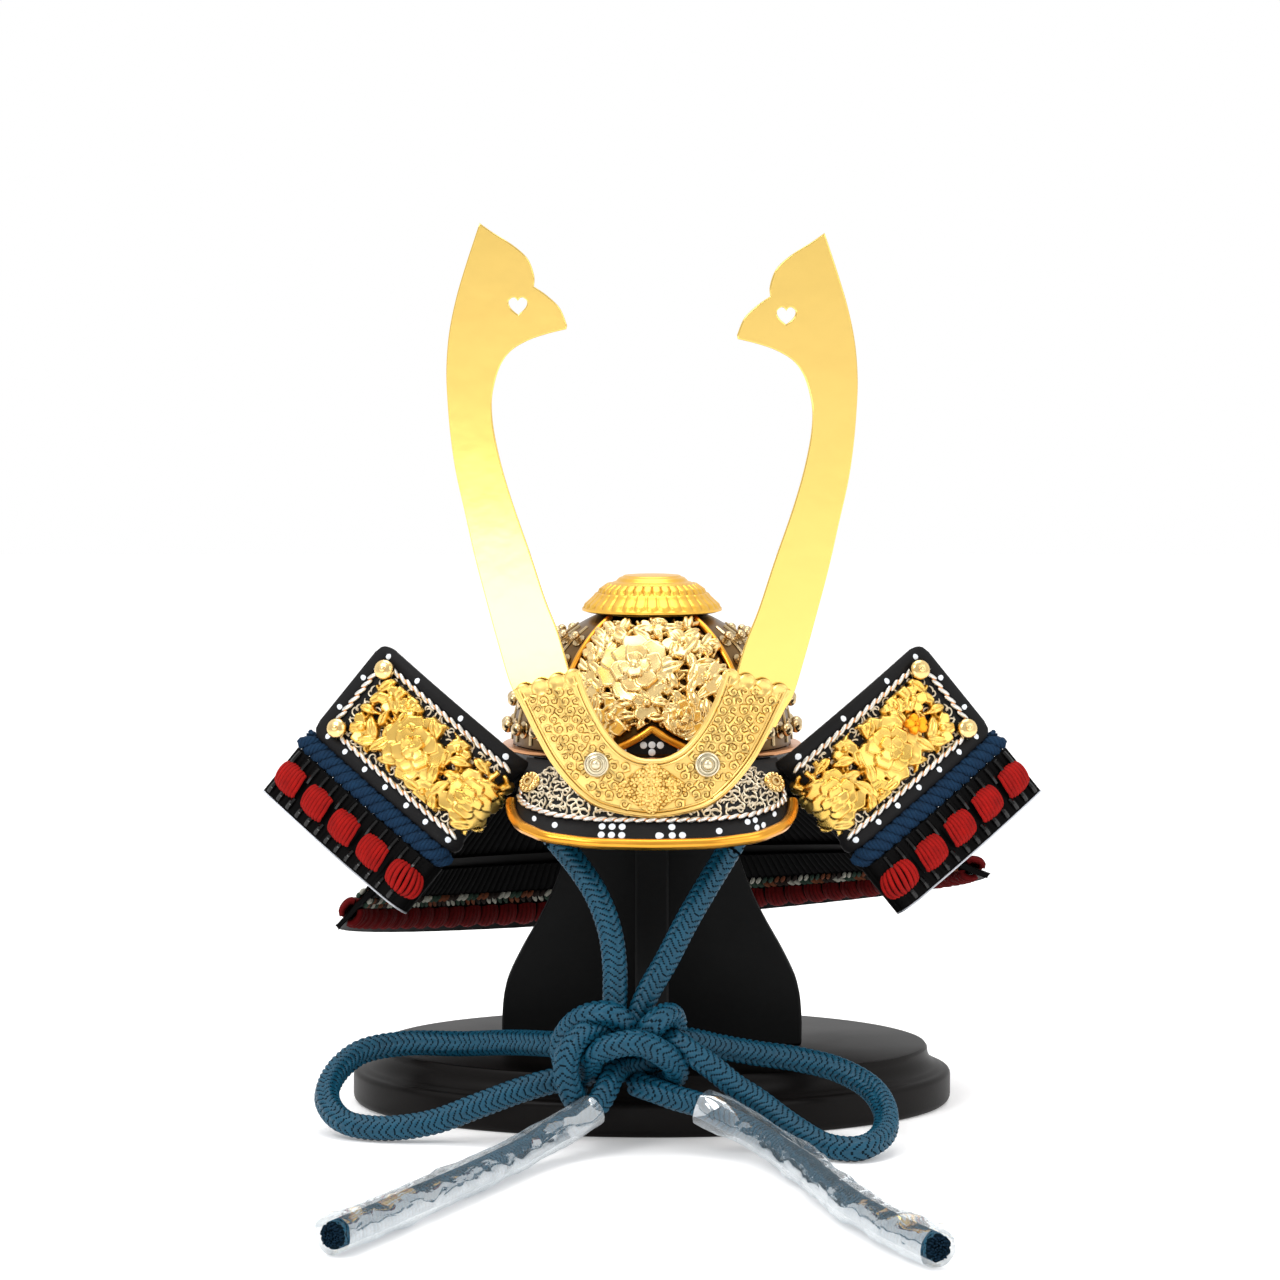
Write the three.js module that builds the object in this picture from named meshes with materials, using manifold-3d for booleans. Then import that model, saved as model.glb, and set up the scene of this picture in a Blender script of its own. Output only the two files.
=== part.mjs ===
// Miniature kabuto helmet on its black display stand. Millimetres, +Z up, the helmet faces -Y.
// The origin is the centre of the stand base's underside.
import * as THREE from 'three';
import { mergeVertices } from 'three/addons/utils/BufferGeometryUtils.js';
import Module from 'manifold-3d';

const wasm = await Module();
wasm.setup();

// Clearance between pieces that touch, and the turn that one degree makes
const gap = 0.3;
const degree = Math.PI / 180;

// Stand
const baseHalfWidth = 97.5;
const baseHalfDepth = 68;
const baseWall = 11;
const baseHeight = 19;
const baseMoulding = 8.5;
const boardThickness = 10.5;
const boardHalfWidth = 48.6;

// Bowl
const helmetY = -5;
const brimZ = 118;
const bowlRadius = 45;
const bowlWall = 2;
const bowlTopRise = bowlRadius * 0.922;
const rivetRadius = 2.1;
const rivetHeight = 2.8;
const bowlSides = 24;
const bowlRings = 4;
const ribAngle = 40;
const bandHeight = 6;
const bandWall = 2;
const brimLip = 1.6;

// Finial
const finialRadius = 23;
const finialCrown = 6;
const finialHeight = 12.4;
const finialPetals = 18;
const finialPlug = 1.2;

// Front openwork and its frame
const openworkThickness = 1.4;
const openworkOff = 1.1;
const openworkBottomZ = brimZ + 3;
const openworkTopZ = brimZ + bowlTopRise - 2.5;
const openworkPeak = 7.5;
const ribRadius = 1.1;

// Visor
const visorWall = 1.8;
const visorRootAngle = 55;
const visorReach = 28;
const visorDrop = 20.6;
const visorInset = 2.2;
const visorHalfWidth = bowlRadius - visorInset;
const visorSwell = 2.4;
const visorRimRadius = 1.8;
const visorPipingRadius = 0.8;
const rosetteRadius = 3.4;
const rosetteOff = 1.5;

// Crest base and blades
const crestHalfWidth = 42.7;
const crestHeight = 46;
const crestBottomZ = 101.7;
const crestSeat = 2.4;
const crestY = helmetY - bowlRadius - visorReach + crestSeat;
const studAcross = 0.4;
const studUp = 0.36;
const crestThickness = 1.6;
const crestRimRaise = 0.6;
const crestBendRadius = 260;
const studRadius = 4;
const studHeight = 2.2;
const bladeHeight = 146;
const bladeReach = 62.4;
const bladeThickness = 1.2;
const bladeTang = 6;
const bladeLean = 3;
const bladeRightDrop = 3;
const heartWidth = 5.6;

// Turned-back plates
const plateLength = 52;
const plateHeight = 37;
const plateWall = 2;
const plateRise = 39;
const plateSweep = 20;
const plateBow = 2.2;
const foldRadius = 7;
const foldTurn = 95;
const foldAside = 18;
const foldForward = 4;
const foldX = bowlRadius + foldAside;
const foldY = helmetY - bowlRadius + foldForward;
const foldZ = 87.5;
const ropeRadius = 3;
const lowerLameHeight = 18;
const plateMargin = 5;
const platePipingRadius = 0.8;
const plateOpenworkThickness = 1.6;
const knobRadius = 3;
const knobHeight = 2;
const knotFlat = 0.6;
const plateKnots = 5;
const firstKnot = -2.5;
const lastKnotInset = 5.5;

// Neck guard
const neckEnd = 105;
const lameWall = 1.6;
const laceThickness = 1;
const laceOff = 0.5;
const neckTopRadius = bowlRadius + 3.5;
const neckStep = 19.2;
const neckTopZ = brimZ - 4;
const neckDrops = [16, 12.5, 13.4];
const neckBackDrop = 20;
const neckOverlap = 0.14;
const neckRoll = 4.6;
const neckShift = 3.5;
const braidHeight = 4;
const braidThickness = 1.8;
const redKnots = 21;
const redThickness = 2.2;

// Chin cord
const cordDiameter = 8;
const filmWall = 1.5;

// Outline of a board: width and height as shares of boardHalfWidth and of the height from plateau to brim
const boardOutline = [
  { height: 0.0, width: 1.0 },
  { height: 0.1, width: 1.0 },
  { height: 0.2, width: 0.975 },
  { height: 0.3, width: 0.885 },
  { height: 0.41, width: 0.76 },
  { height: 0.49, width: 0.68 },
  { height: 0.61, width: 0.59 },
  { height: 0.8, width: 0.5 },
  { height: 0.95, width: 0.46 },
];

// Half outline of the crest base: shares of its half width and height, outer edge then inner edge
const crestOuter = [
  { across: 0.0, up: 0.0 },
  { across: 0.22, up: 0.025 },
  { across: 0.42, up: 0.08 },
  { across: 0.58, up: 0.2 },
  { across: 0.73, up: 0.37 },
  { across: 0.84, up: 0.55 },
  { across: 0.92, up: 0.7 },
  { across: 1.0, up: 0.85 },
];
const crestInner = [
  { across: 0.0, up: 0.395 },
  { across: 0.11, up: 0.41 },
  { across: 0.23, up: 0.475 },
  { across: 0.335, up: 0.59 },
  { across: 0.415, up: 0.72 },
  { across: 0.48, up: 0.86 },
  { across: 0.52, up: 0.99 },
];

// Blade outline from the outer foot up round the tip and back down, as shares of reach and height
const bladeOuter = [
  { out: 0.66, up: 0.0 },
  { out: 0.7, up: 0.03 },
  { out: 0.755, up: 0.11 },
  { out: 0.82, up: 0.215 },
  { out: 0.87, up: 0.3 },
  { out: 0.915, up: 0.39 },
  { out: 0.96, up: 0.48 },
  { out: 0.985, up: 0.56 },
  { out: 0.998, up: 0.64 },
  { out: 1.0, up: 0.7 },
  { out: 0.985, up: 0.77 },
  { out: 0.95, up: 0.84 },
  { out: 0.9, up: 0.91 },
  { out: 0.827, up: 1.0 },
];
const bladeCrown = [
  { out: 0.827, up: 1.0 },
  { out: 0.76, up: 0.98 },
  { out: 0.66, up: 0.953 },
  { out: 0.59, up: 0.925 },
  { out: 0.56, up: 0.89 },
  { out: 0.562, up: 0.868 },
];
const bladeBeak = [
  { out: 0.562, up: 0.868 },
  { out: 0.5, up: 0.85 },
  { out: 0.435, up: 0.823 },
  { out: 0.4, up: 0.787 },
];
const bladeInner = [
  { out: 0.404, up: 0.779 },
  { out: 0.5, up: 0.769 },
  { out: 0.595, up: 0.755 },
  { out: 0.68, up: 0.733 },
  { out: 0.735, up: 0.7 },
  { out: 0.77, up: 0.65 },
  { out: 0.777, up: 0.61 },
  { out: 0.765, up: 0.56 },
  { out: 0.73, up: 0.49 },
  { out: 0.675, up: 0.41 },
  { out: 0.595, up: 0.31 },
  { out: 0.52, up: 0.21 },
  { out: 0.45, up: 0.13 },
  { out: 0.37, up: 0.0 },
];
const heartPlace = { out: 0.642, up: 0.829 };

// Visor edge from the middle to the corner: shares of half width, reach and drop
const visorEdge = [
  { at: 0.0, across: 0.0, reach: 1.0, drop: 1.0 },
  { at: 0.3, across: 0.42, reach: 0.97, drop: 0.985 },
  { at: 0.55, across: 0.74, reach: 0.84, drop: 0.92 },
  { at: 0.78, across: 0.94, reach: 0.48, drop: 0.8 },
  { at: 0.92, across: 1.0, reach: 0.1, drop: 0.66 },
  { at: 1.0, across: 0.995, reach: -0.12, drop: 0.5 },
];

// Openwork width: height share from bottom to top, and half angle round the bowl
const openworkWidth = [
  { up: 0.0, angle: 19 },
  { up: 0.25, angle: 26 },
  { up: 0.55, angle: 31.5 },
  { up: 0.85, angle: 35.5 },
  { up: 1.0, angle: 36 },
];

// Openings between the stems of the front openwork: shares of its half width and height
const frontGaps = [
  { across: -0.62, up: 0.3, size: 2.2 },
  { across: 0.34, up: 0.2, size: 2 },
  { across: 0.66, up: 0.34, size: 2.4 },
  { across: 0.36, up: 0.44, size: 2.3 },
  { across: -0.58, up: 0.78, size: 2.3 },
  { across: 0.55, up: 0.82, size: 2 },
];

// Openings between the stems of a turned-back plate's openwork, as shares of its length and height
const plateGaps = [
  { along: 0.13, up: 0.3, size: 2 },
  { along: 0.16, up: 0.66, size: 2.2 },
  { along: 0.36, up: 0.78, size: 2.1 },
  { along: 0.7, up: 0.3, size: 2.1 },
  { along: 0.84, up: 0.62, size: 2 },
];

// Raised flowers of the plate openwork: place as shares, radius of the flower
const plateFlowers = [
  { along: 0.66, up: 0.56, size: 6.4 },
  { along: 0.3, up: 0.52, size: 5 },
];
const frontFlowers = [
  { across: -0.16, up: 0.42, size: 7 },
  { across: -0.05, up: 0.64, size: 4.2 },
];

// Chin cord, points chosen by hand from the helmet's inside to each end
const neckRoute = [
  [-29.7, -59.9, 92.7], [-31.4, -57.6, 95], [-32.8, -53, 96.8], [-33, -45, 97.5], [-33.5, -32, 97],
  [-34, -16, 96], [-33.5, -4, 95.5], [-29, 10, 95.5], [-20, 20, 95.5], [-8, 23.4, 95.5], [6, 23.4, 95.5],
  [19, 20.5, 95.5], [29, 10, 95.5], [33.5, -3, 95.5], [34, -16, 96], [32.5, -32, 96.8],
  [29.5, -46, 96.5], [27.5, -54, 95], [25.6, -58.6, 92.4], [24.2, -59.9, 89.8],
];
const dropLeftRoute = [
  [-29.5, -60, 92.5], [-23, -64, 85], [-17, -67, 76], [-13, -70, 65.5], [-11.5, -73, 55], [-11.5, -76, 44],
  [-12, -77, 37], [-16, -75, 31.5],
];
const loopLeftRoute = [
  [-16, -75, 31.5], [-24, -72, 30], [-32, -66, 29.5], [-45, -52, 27.5], [-60, -40, 25], [-80, -33, 23.8],
  [-93, -36, 21.5], [-100.5, -45, 16], [-102, -57, 10], [-96, -67.5, 5.3], [-84, -73, 4.2], [-68, -75, 6.5],
  [-54, -77, 12], [-40, -79, 17.5], [-30, -80, 20.5], [-24, -80.5, 21.5],
];
const wrapAcrossRoute = [
  [-24, -80.5, 21.5], [-19.5, -84, 24], [-18, -90, 30], [-12, -93, 33.5], [-4, -93, 34.5], [3, -91, 31],
  [7.5, -86, 25.5], [5, -80, 20], [-1, -78, 18], [-4, -82, 19.5],
];
const tailRightRoute = [
  [-4, -82, 19.5], [1, -86, 18.5], [7.5, -88, 16.5], [14, -90, 15], [22, -95, 12], [30, -102, 9.3],
  [37, -115, 7], [44, -137, 6.3], [50, -166, 6.3], [57, -196, 6.3], [66, -224, 6.3], [77, -251, 6.3],
];
const dropRightRoute = [
  [24, -60, 89.5], [18, -63, 80], [11, -67, 68.5], [4.5, -71, 56.5], [-2, -75, 45.3], [-4, -76, 38],
  [0, -76, 33.5],
];
const loopRightRoute = [
  [0, -76, 33.5], [6, -74, 32.5], [12, -71, 31.5], [21, -65, 28.5], [33, -60, 25.5], [45, -59, 23.6],
  [58, -63, 21], [68, -71, 16.5], [72, -83, 11], [70, -96, 6.3], [62.5, -104.5, 4.2], [53, -101.5, 4.6],
  [43, -94.5, 9], [32, -87.5, 16], [25, -87, 20.5], [19, -87, 25.5], [12, -86, 30.3], [7.5, -84, 33],
];
const wrapOverRoute = [
  [7.5, -84, 33], [2, -79, 33], [-4, -79, 32], [-8, -82, 35], [-8.5, -86, 39], [-12.5, -88, 42.5],
  [-19, -87, 42], [-25, -83, 37.5], [-27.5, -81, 31], [-26, -81, 24], [-24, -82, 18],
];
const wrapSideRoute = [
  [-24, -82, 18], [-22.5, -86.5, 14.5], [-24.5, -91, 18.5], [-26.3, -93, 26], [-25, -92.5, 32.5],
  [-21, -90, 36.8], [-15.5, -85, 37], [-10, -79, 33],
];
const wrapTopRoute = [
  [-10, -79, 33], [-4, -81, 32], [-2.5, -86, 35.5], [1.5, -87, 40], [5, -83, 41.5], [7, -78, 38],
  [4, -75, 31], [-2, -76, 25], [-9, -79, 24],
];
const tailLeftRoute = [
  [-9, -79, 24], [-12, -84, 23.5], [-14, -89, 19.5], [-17, -92, 15], [-22, -97, 12], [-30, -106, 9.3],
  [-38, -121, 7], [-47, -142, 6.3], [-57, -167, 6.3], [-67, -190, 6.3], [-77, -214, 6.3], [-87, -236, 6.3],
];
// The knot fills this space, and its strands press together in a core that is a share of it
const knotCore = 0.6;
const knotDetail = 0.8;
const knotSides = 6;
const knotRoom = { x: -10, y: -84.5, z: 28, acrossRadius: 24, depthRadius: 15.5, heightRadius: 20 };

// Finishes
const finish = (color, roughness, metalness) => new THREE.MeshStandardMaterial({ color, roughness, metalness });
const blackBoard = finish(0x141515, 0.6, 0);
const blackBase = finish(0x2b2624, 0.45, 0);
const blackLacquer = finish(0x141412, 0.15, 0);
const bronze = finish(0xb9a07a, 0.3, 1);
const paleGold = finish(0xf6d27a, 0.25, 1);
const richGold = finish(0xf0a824, 0.3, 1);
const silver = finish(0xdadada, 0.4, 1);
const leather = finish(0x1c1b1d, 0.6, 0);
const redYarn = finish(0xc6281e, 0.9, 0);
const navyRope = finish(0x1c3a66, 0.9, 0);
const braidYarn = finish(0x6d7a5a, 0.9, 0);
const blackLace = finish(0x121212, 0.8, 0);
const tealCord = finish(0x1f5a7a, 0.7, 0);
const clearFilm = new THREE.MeshStandardMaterial({
  color: 0xe4ecf0, roughness: 0.1, metalness: 0, transparent: true, opacity: 0.4,
});

const kabuto = new THREE.Group();

// Puts a geometry into the model as a named piece
function piece(name, geometry, material, parent = kabuto) {
  const mesh = new THREE.Mesh(geometry, material);
  mesh.name = name;
  parent.add(mesh);
  return mesh;
}

const vector = (x, y, z) => new THREE.Vector3(x, y, z);

// A value between the rows of a table, by its first named column
function between(rows, key, at, column) {
  const last = rows.length - 1;
  if (at <= rows[0][key]) return rows[0][column];
  for (let i = 1; i <= last; i += 1) {
    if (at <= rows[i][key]) {
      const share = (at - rows[i - 1][key]) / (rows[i][key] - rows[i - 1][key]);
      return THREE.MathUtils.lerp(rows[i - 1][column], rows[i][column], share);
    }
  }
  return rows[last][column];
}

// Turns every triangle round where the mesh is inside out
function facingOut(geometry) {
  const place = geometry.attributes.position;
  const index = geometry.index.array;
  const corners = [vector(0, 0, 0), vector(0, 0, 0), vector(0, 0, 0)];
  let volume = 0;
  for (let i = 0; i < index.length; i += 3) {
    corners.forEach((corner, k) => corner.fromBufferAttribute(place, index[i + k]));
    volume += corners[0].dot(corners[1].cross(corners[2]));
  }
  if (volume < 0) {
    for (let i = 0; i < index.length; i += 3) {
      [index[i], index[i + 1]] = [index[i + 1], index[i]];
    }
  }
  return geometry;
}

// A sheet with two faces and a rim. place(u, v, face) gives a point; face is 0 inside and 1 outside
function sheet(columns, rows, place) {
  const points = [];
  const index = [];
  const at = (i, j, face) => (face * (columns + 1) + i) * (rows + 1) + j;
  for (let face = 0; face < 2; face += 1) {
    for (let i = 0; i <= columns; i += 1) {
      for (let j = 0; j <= rows; j += 1) points.push(...place(i / columns, j / rows, face).toArray());
    }
  }
  const quad = (a, b, c, d) => index.push(a, b, c, a, c, d);
  for (let i = 0; i < columns; i += 1) {
    for (let j = 0; j < rows; j += 1) {
      quad(at(i, j, 1), at(i + 1, j, 1), at(i + 1, j + 1, 1), at(i, j + 1, 1));
      quad(at(i, j, 0), at(i, j + 1, 0), at(i + 1, j + 1, 0), at(i + 1, j, 0));
    }
    quad(at(i, 0, 0), at(i + 1, 0, 0), at(i + 1, 0, 1), at(i, 0, 1));
    quad(at(i, rows, 1), at(i + 1, rows, 1), at(i + 1, rows, 0), at(i, rows, 0));
  }
  for (let j = 0; j < rows; j += 1) {
    quad(at(0, j, 1), at(0, j + 1, 1), at(0, j + 1, 0), at(0, j, 0));
    quad(at(columns, j, 0), at(columns, j + 1, 0), at(columns, j + 1, 1), at(columns, j, 1));
  }
  const geometry = new THREE.BufferGeometry();
  geometry.setAttribute('position', new THREE.Float32BufferAttribute(points, 3));
  geometry.setIndex(index);
  return facingOut(geometry);
}

// A closed turned shape whose profile starts and ends on the axis
function turned(profile, segments) {
  const geometry = new THREE.LatheGeometry(profile.map(([r, z]) => new THREE.Vector2(r, z)), segments);
  return facingOut(geometry.rotateX(Math.PI / 2));
}

// A round tube along a smooth curve through the points
function tube(points, radius, sides, steps) {
  const section = new THREE.Shape();
  section.absarc(0, 0, radius, 0, 2 * Math.PI);
  const path = new THREE.CatmullRomCurve3(points.map((p) => (p.isVector3 ? p : vector(...p))), false, 'centripetal');
  const outline = new THREE.Shape(section.getPoints(sides).slice(0, sides));
  return new THREE.ExtrudeGeometry(outline, { steps, extrudePath: path, bevelEnabled: false });
}

// The same piece on the other side of the helmet
function mirrored(geometry) {
  const copy = mergeVertices(positionsOnly(geometry), 1e-4);
  copy.scale(-1, 1, 1);
  return facingOut(copy);
}

function positionsOnly(geometry) {
  const bare = new THREE.BufferGeometry();
  bare.setAttribute('position', geometry.attributes.position.clone());
  if (geometry.index) bare.setIndex([...geometry.index.array]);
  return bare;
}

// Closed meshes as solids that can be joined and cut, and back again
function solidOf(geometry) {
  const merged = mergeVertices(positionsOnly(geometry), 1e-4);
  const vertProperties = new Float32Array(merged.attributes.position.array);
  const triVerts = new Uint32Array(merged.index.array);
  return new wasm.Manifold(new wasm.Mesh({ numProp: 3, vertProperties, triVerts }));
}

function geometryOf(solid, detail = 0.01) {
  const mesh = solid.simplify(detail).getMesh();
  const geometry = new THREE.BufferGeometry();
  geometry.setAttribute('position', new THREE.Float32BufferAttribute(mesh.vertProperties, 3));
  geometry.setIndex([...mesh.triVerts]);
  return geometry;
}

const joined = (geometries) => geometries.map(solidOf).reduce((whole, part) => whole.add(part));

// Stand base
function standBase() {
  const top = baseHalfWidth - baseMoulding;
  const profile = [
    [0, 0],
    [baseHalfWidth - 2.5, 0],
    [baseHalfWidth, 2.5],
    [baseHalfWidth, baseWall - 1],
    [baseHalfWidth - 3, baseWall + 1],
    [top + 3.5, baseHeight - 2.5],
    [top, baseHeight],
    [0, baseHeight],
  ];
  return turned(profile, 30).scale(1, baseHalfDepth / baseHalfWidth, 1);
}

// Crossed boards, halved into each other, with their shoulders under the bowl
const boardBottomZ = baseHeight + gap;
const bowlInside = bowlRadius - bowlWall;
const bowlTop = Math.asin(bowlTopRise / bowlRadius);
const bowlInsideTop = Math.asin(bowlTopRise / bowlInside);
const boardTopZ = brimZ + bowlTopRise - bowlWall - 1.5;
const slotZ = (boardBottomZ + boardTopZ) / 2;

function boardShape(slotAbove) {
  const shoulderWidth = boardHalfWidth * boardOutline[boardOutline.length - 1].width;
  const facetInside = bowlInside * Math.cos(Math.PI / bowlSides) * Math.cos(bowlInsideTop / bowlRings / 2);
  const dome = Math.sqrt((facetInside - gap) ** 2 - (boardThickness / 2) ** 2);
  const outline = boardOutline.map(({ height, width }) => [
    boardHalfWidth * width,
    THREE.MathUtils.lerp(boardBottomZ, brimZ, height),
  ]);
  const shoulderAngle = Math.acos(shoulderWidth / dome);
  const topAngle = Math.asin((boardTopZ - brimZ) / dome);
  for (let i = 0; i <= 3; i += 1) {
    const angle = THREE.MathUtils.lerp(shoulderAngle, topAngle, i / 3);
    outline.push([dome * Math.cos(angle), brimZ + dome * Math.sin(angle)]);
  }
  const half = boardThickness / 2 + gap;
  const slotTop = [[half, boardTopZ], [half, slotZ - gap / 2], [-half, slotZ - gap / 2], [-half, boardTopZ]];
  const slotBottom = [[-half, boardBottomZ], [-half, slotZ + gap / 2], [half, slotZ + gap / 2], [half, boardBottomZ]];
  const left = outline.map(([x, z]) => [-x, z]).reverse();
  const points = slotAbove ? [...outline, ...slotTop, ...left] : [...outline, ...left, ...slotBottom];
  return new THREE.Shape(points.map(([x, z]) => new THREE.Vector2(x, z)));
}

function board(slotAbove) {
  const shape = boardShape(slotAbove);
  const slab = new THREE.ExtrudeGeometry(shape, { depth: boardThickness, bevelEnabled: false });
  return slab.translate(0, 0, -boardThickness / 2).rotateX(Math.PI / 2);
}

// A point on the bowl's sphere, by angle round from the front, height and distance off the bowl
function onBowl(angle, z, off) {
  const rise = z - brimZ;
  const reach = Math.sqrt(Math.max(bowlRadius ** 2 - rise ** 2, 0));
  const normal = vector(Math.sin(angle) * reach, -Math.cos(angle) * reach, rise).divideScalar(bowlRadius);
  return normal.multiplyScalar(bowlRadius + off).add(vector(0, helmetY, brimZ));
}

// Bowl shell with rows of domed rivets left, right and behind the front openwork
function bowl() {
  const outer = [];
  const inner = [];
  for (let i = 0; i <= bowlRings; i += 1) {
    const a = (bowlTop * i) / bowlRings;
    outer.push([bowlRadius * Math.cos(a), bowlRadius * Math.sin(a)]);
    const b = (bowlInsideTop * i) / bowlRings;
    inner.unshift([bowlInside * Math.cos(b), bowlInside * Math.sin(b)]);
  }
  const shell = turned([...outer, ...inner, outer[0]], bowlSides).translate(0, helmetY, brimZ);
  return geometryOf(joined([shell, ...rivets()]));
}

function rivets() {
  const rows = [0.13, 0.38, 0.62, 0.84];
  const columns = 8;
  const made = [];
  for (let c = 0; c < columns; c += 1) {
    const angle = THREE.MathUtils.lerp(ribAngle + 12, 360 - ribAngle - 12, c / (columns - 1)) * degree;
    rows.forEach((share) => {
      const rise = bowlRadius * Math.sin(share * 72 * degree);
      const dome = new THREE.ConeGeometry(rivetRadius, rivetHeight + 1, 4, 1);
      dome.translate(0, rivetHeight / 2 - 0.5, 0);
      const foot = onBowl(angle, brimZ + rise, 0);
      const outward = foot.clone().sub(vector(0, helmetY, brimZ)).normalize();
      dome.applyQuaternion(new THREE.Quaternion().setFromUnitVectors(vector(0, 1, 0), outward));
      made.push(dome.translate(...foot.toArray()));
    });
  }
  return made;
}

// Waist band under the bowl, with the lip of its brim
function waistBand() {
  const outside = bowlRadius + bandWall;
  const top = -gap;
  const profile = [
    [bowlInside, top],
    [outside + brimLip, top],
    [outside + brimLip, top - 1],
    [outside, top - 1.6],
    [outside, -bandHeight],
    [bowlInside, -bandHeight],
    [bowlInside, top],
  ];
  return turned(profile, bowlSides).translate(0, helmetY, brimZ);
}

// Finial: a smooth dome on two rows of petals
function finial() {
  const bottomZ = brimZ + bowlTopRise + gap;
  const holeRadius = Math.sqrt(bowlInside ** 2 - bowlTopRise ** 2) - gap;
  const profile = [
    { r: 0, z: -finialPlug, petal: 0 },
    { r: holeRadius, z: -finialPlug, petal: 0 },
    { r: holeRadius, z: 0, petal: 0 },
    { r: finialRadius - 1, z: 0, petal: 0.5 },
    { r: finialRadius, z: 1.6, petal: 1 },
    { r: finialRadius - 3.2, z: 4.4, petal: 0.3 },
    { r: finialRadius - 4.2, z: 5.2, petal: 0.7 },
    { r: finialRadius - 9, z: 9, petal: 0.1 },
    { r: finialCrown + 5, z: finialHeight - 1, petal: 0 },
    { r: finialCrown, z: finialHeight, petal: 0 },
    { r: 0, z: finialHeight, petal: 0 },
  ];
  const petalDepth = 0.8;
  const segments = finialPetals * 2;
  const points = [];
  const index = [];
  const ring = (row, k) => 1 + (row - 1) * segments + (k % segments);
  const last = profile.length - 1;
  points.push(0, helmetY, bottomZ + profile[0].z);
  for (let row = 1; row < last; row += 1) {
    for (let k = 0; k < segments; k += 1) {
      const { r, z, petal } = profile[row];
      const angle = (k / segments) * 2 * Math.PI;
      const reach = r - (k % 2) * petalDepth * petal;
      points.push(reach * Math.sin(angle), helmetY - reach * Math.cos(angle), bottomZ + z);
    }
  }
  points.push(0, helmetY, bottomZ + profile[last].z);
  const apex = points.length / 3 - 1;
  for (let k = 0; k < segments; k += 1) {
    index.push(0, ring(1, k), ring(1, k + 1));
    index.push(apex, ring(last - 1, k + 1), ring(last - 1, k));
    for (let row = 1; row < last - 1; row += 1) {
      index.push(ring(row, k), ring(row + 1, k), ring(row + 1, k + 1));
      index.push(ring(row, k), ring(row + 1, k + 1), ring(row, k + 1));
    }
  }
  const geometry = new THREE.BufferGeometry();
  geometry.setAttribute('position', new THREE.Float32BufferAttribute(points, 3));
  geometry.setIndex(index);
  return facingOut(geometry);
}

// A flower of five petals round a boss, standing up from the origin along +Z
function flower(size) {
  const outline = new THREE.Shape();
  for (let k = 0; k < 10; k += 1) {
    const reach = k % 2 ? size * 0.62 : size;
    const angle = (k / 10) * 2 * Math.PI;
    const at = [reach * Math.cos(angle), reach * Math.sin(angle)];
    if (k) outline.lineTo(...at);
    else outline.moveTo(...at);
  }
  const petals = new THREE.ExtrudeGeometry(outline, { depth: size * 0.3, bevelEnabled: false });
  const boss = new THREE.OctahedronGeometry(size * 0.36).translate(0, 0, size * 0.3);
  return [petals.translate(0, 0, -size * 0.12), boss];
}

// A prism that cuts a gap through openwork, along Z
const cutterLength = 12;
const gapCutter = (size) => new THREE.CylinderGeometry(size, size, cutterLength, 5).rotateX(Math.PI / 2);

// Stands a part made along +Z at a place, pointing along a direction
function stood(geometry, place, direction) {
  geometry.applyQuaternion(new THREE.Quaternion().setFromUnitVectors(vector(0, 0, 1), direction));
  return geometry.translate(...place.toArray());
}

// Openwork: a panel with its gaps cut through and its flowers fused on
function pierced(panel, gaps, flowers) {
  let solid = solidOf(panel);
  gaps.forEach(({ place, direction, size }) => {
    solid = solid.subtract(solidOf(stood(gapCutter(size), place, direction)));
  });
  flowers.forEach(({ place, direction, size }) => {
    flower(size).forEach((part) => {
      solid = solid.add(solidOf(stood(part, place, direction)));
    });
  });
  return geometryOf(solid, 0.06);
}

// Height of the openwork's lower edge, which rises to a point in the middle
const lowerEdge = (across) => openworkPeak * (1 - Math.abs(across)) ** 1.5;

function openworkPoint(across, up, off) {
  const angle = across * between(openworkWidth, 'up', up, 'angle') * degree;
  const z = THREE.MathUtils.lerp(openworkBottomZ + lowerEdge(across), openworkTopZ, up);
  return onBowl(angle, z, off);
}

function frontOpenwork() {
  const panel = sheet(8, 3, (u, v, face) => openworkPoint(2 * u - 1, v, openworkOff + face * openworkThickness));
  const centre = vector(0, helmetY, brimZ);
  const spot = ({ across, up, size }, off) => {
    const place = openworkPoint(across, up, off);
    return { place, direction: place.clone().sub(centre).normalize(), size };
  };
  const raise = openworkOff + openworkThickness;
  return pierced(panel, frontGaps.map((row) => spot(row, raise)), frontFlowers.map((row) => spot(row, raise)));
}

// Gold rib on the bowl beside the openwork, and the pointed border under it
function bowlRib(side) {
  const points = [];
  for (let i = 0; i <= 6; i += 1) {
    const z = THREE.MathUtils.lerp(brimZ + 2, brimZ + bowlTopRise - 2.5, i / 6);
    points.push(onBowl(side * (ribAngle + 1.5) * degree, z, ribRadius - gap / 3));
  }
  return tube(points, ribRadius, 6, 6);
}

function openworkBorder() {
  const radius = 1.3;
  const reach = 20;
  const points = [];
  for (let i = -6; i <= 6; i += 1) {
    const across = i / 6;
    const z = openworkBottomZ - radius - gap - 0.5 + lowerEdge(across);
    points.push(onBowl(across * reach * degree, z, gap + radius + 0.1));
  }
  return tube(points, radius, 6, 8);
}

// Visor: a curved plate from the waist band down to its rim
const visorRootZ = brimZ - 2.2;
const visorRootRadius = bowlRadius + bandWall + gap + 0.6 * visorWall;

function visorEdgePoint(across) {
  const at = Math.abs(across);
  const side = Math.sign(across);
  const x = side * visorHalfWidth * between(visorEdge, 'at', at, 'across');
  const y = helmetY - visorRootRadius - visorReach * between(visorEdge, 'at', at, 'reach');
  const z = visorRootZ - visorDrop * between(visorEdge, 'at', at, 'drop');
  return vector(x, y, z);
}

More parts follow.
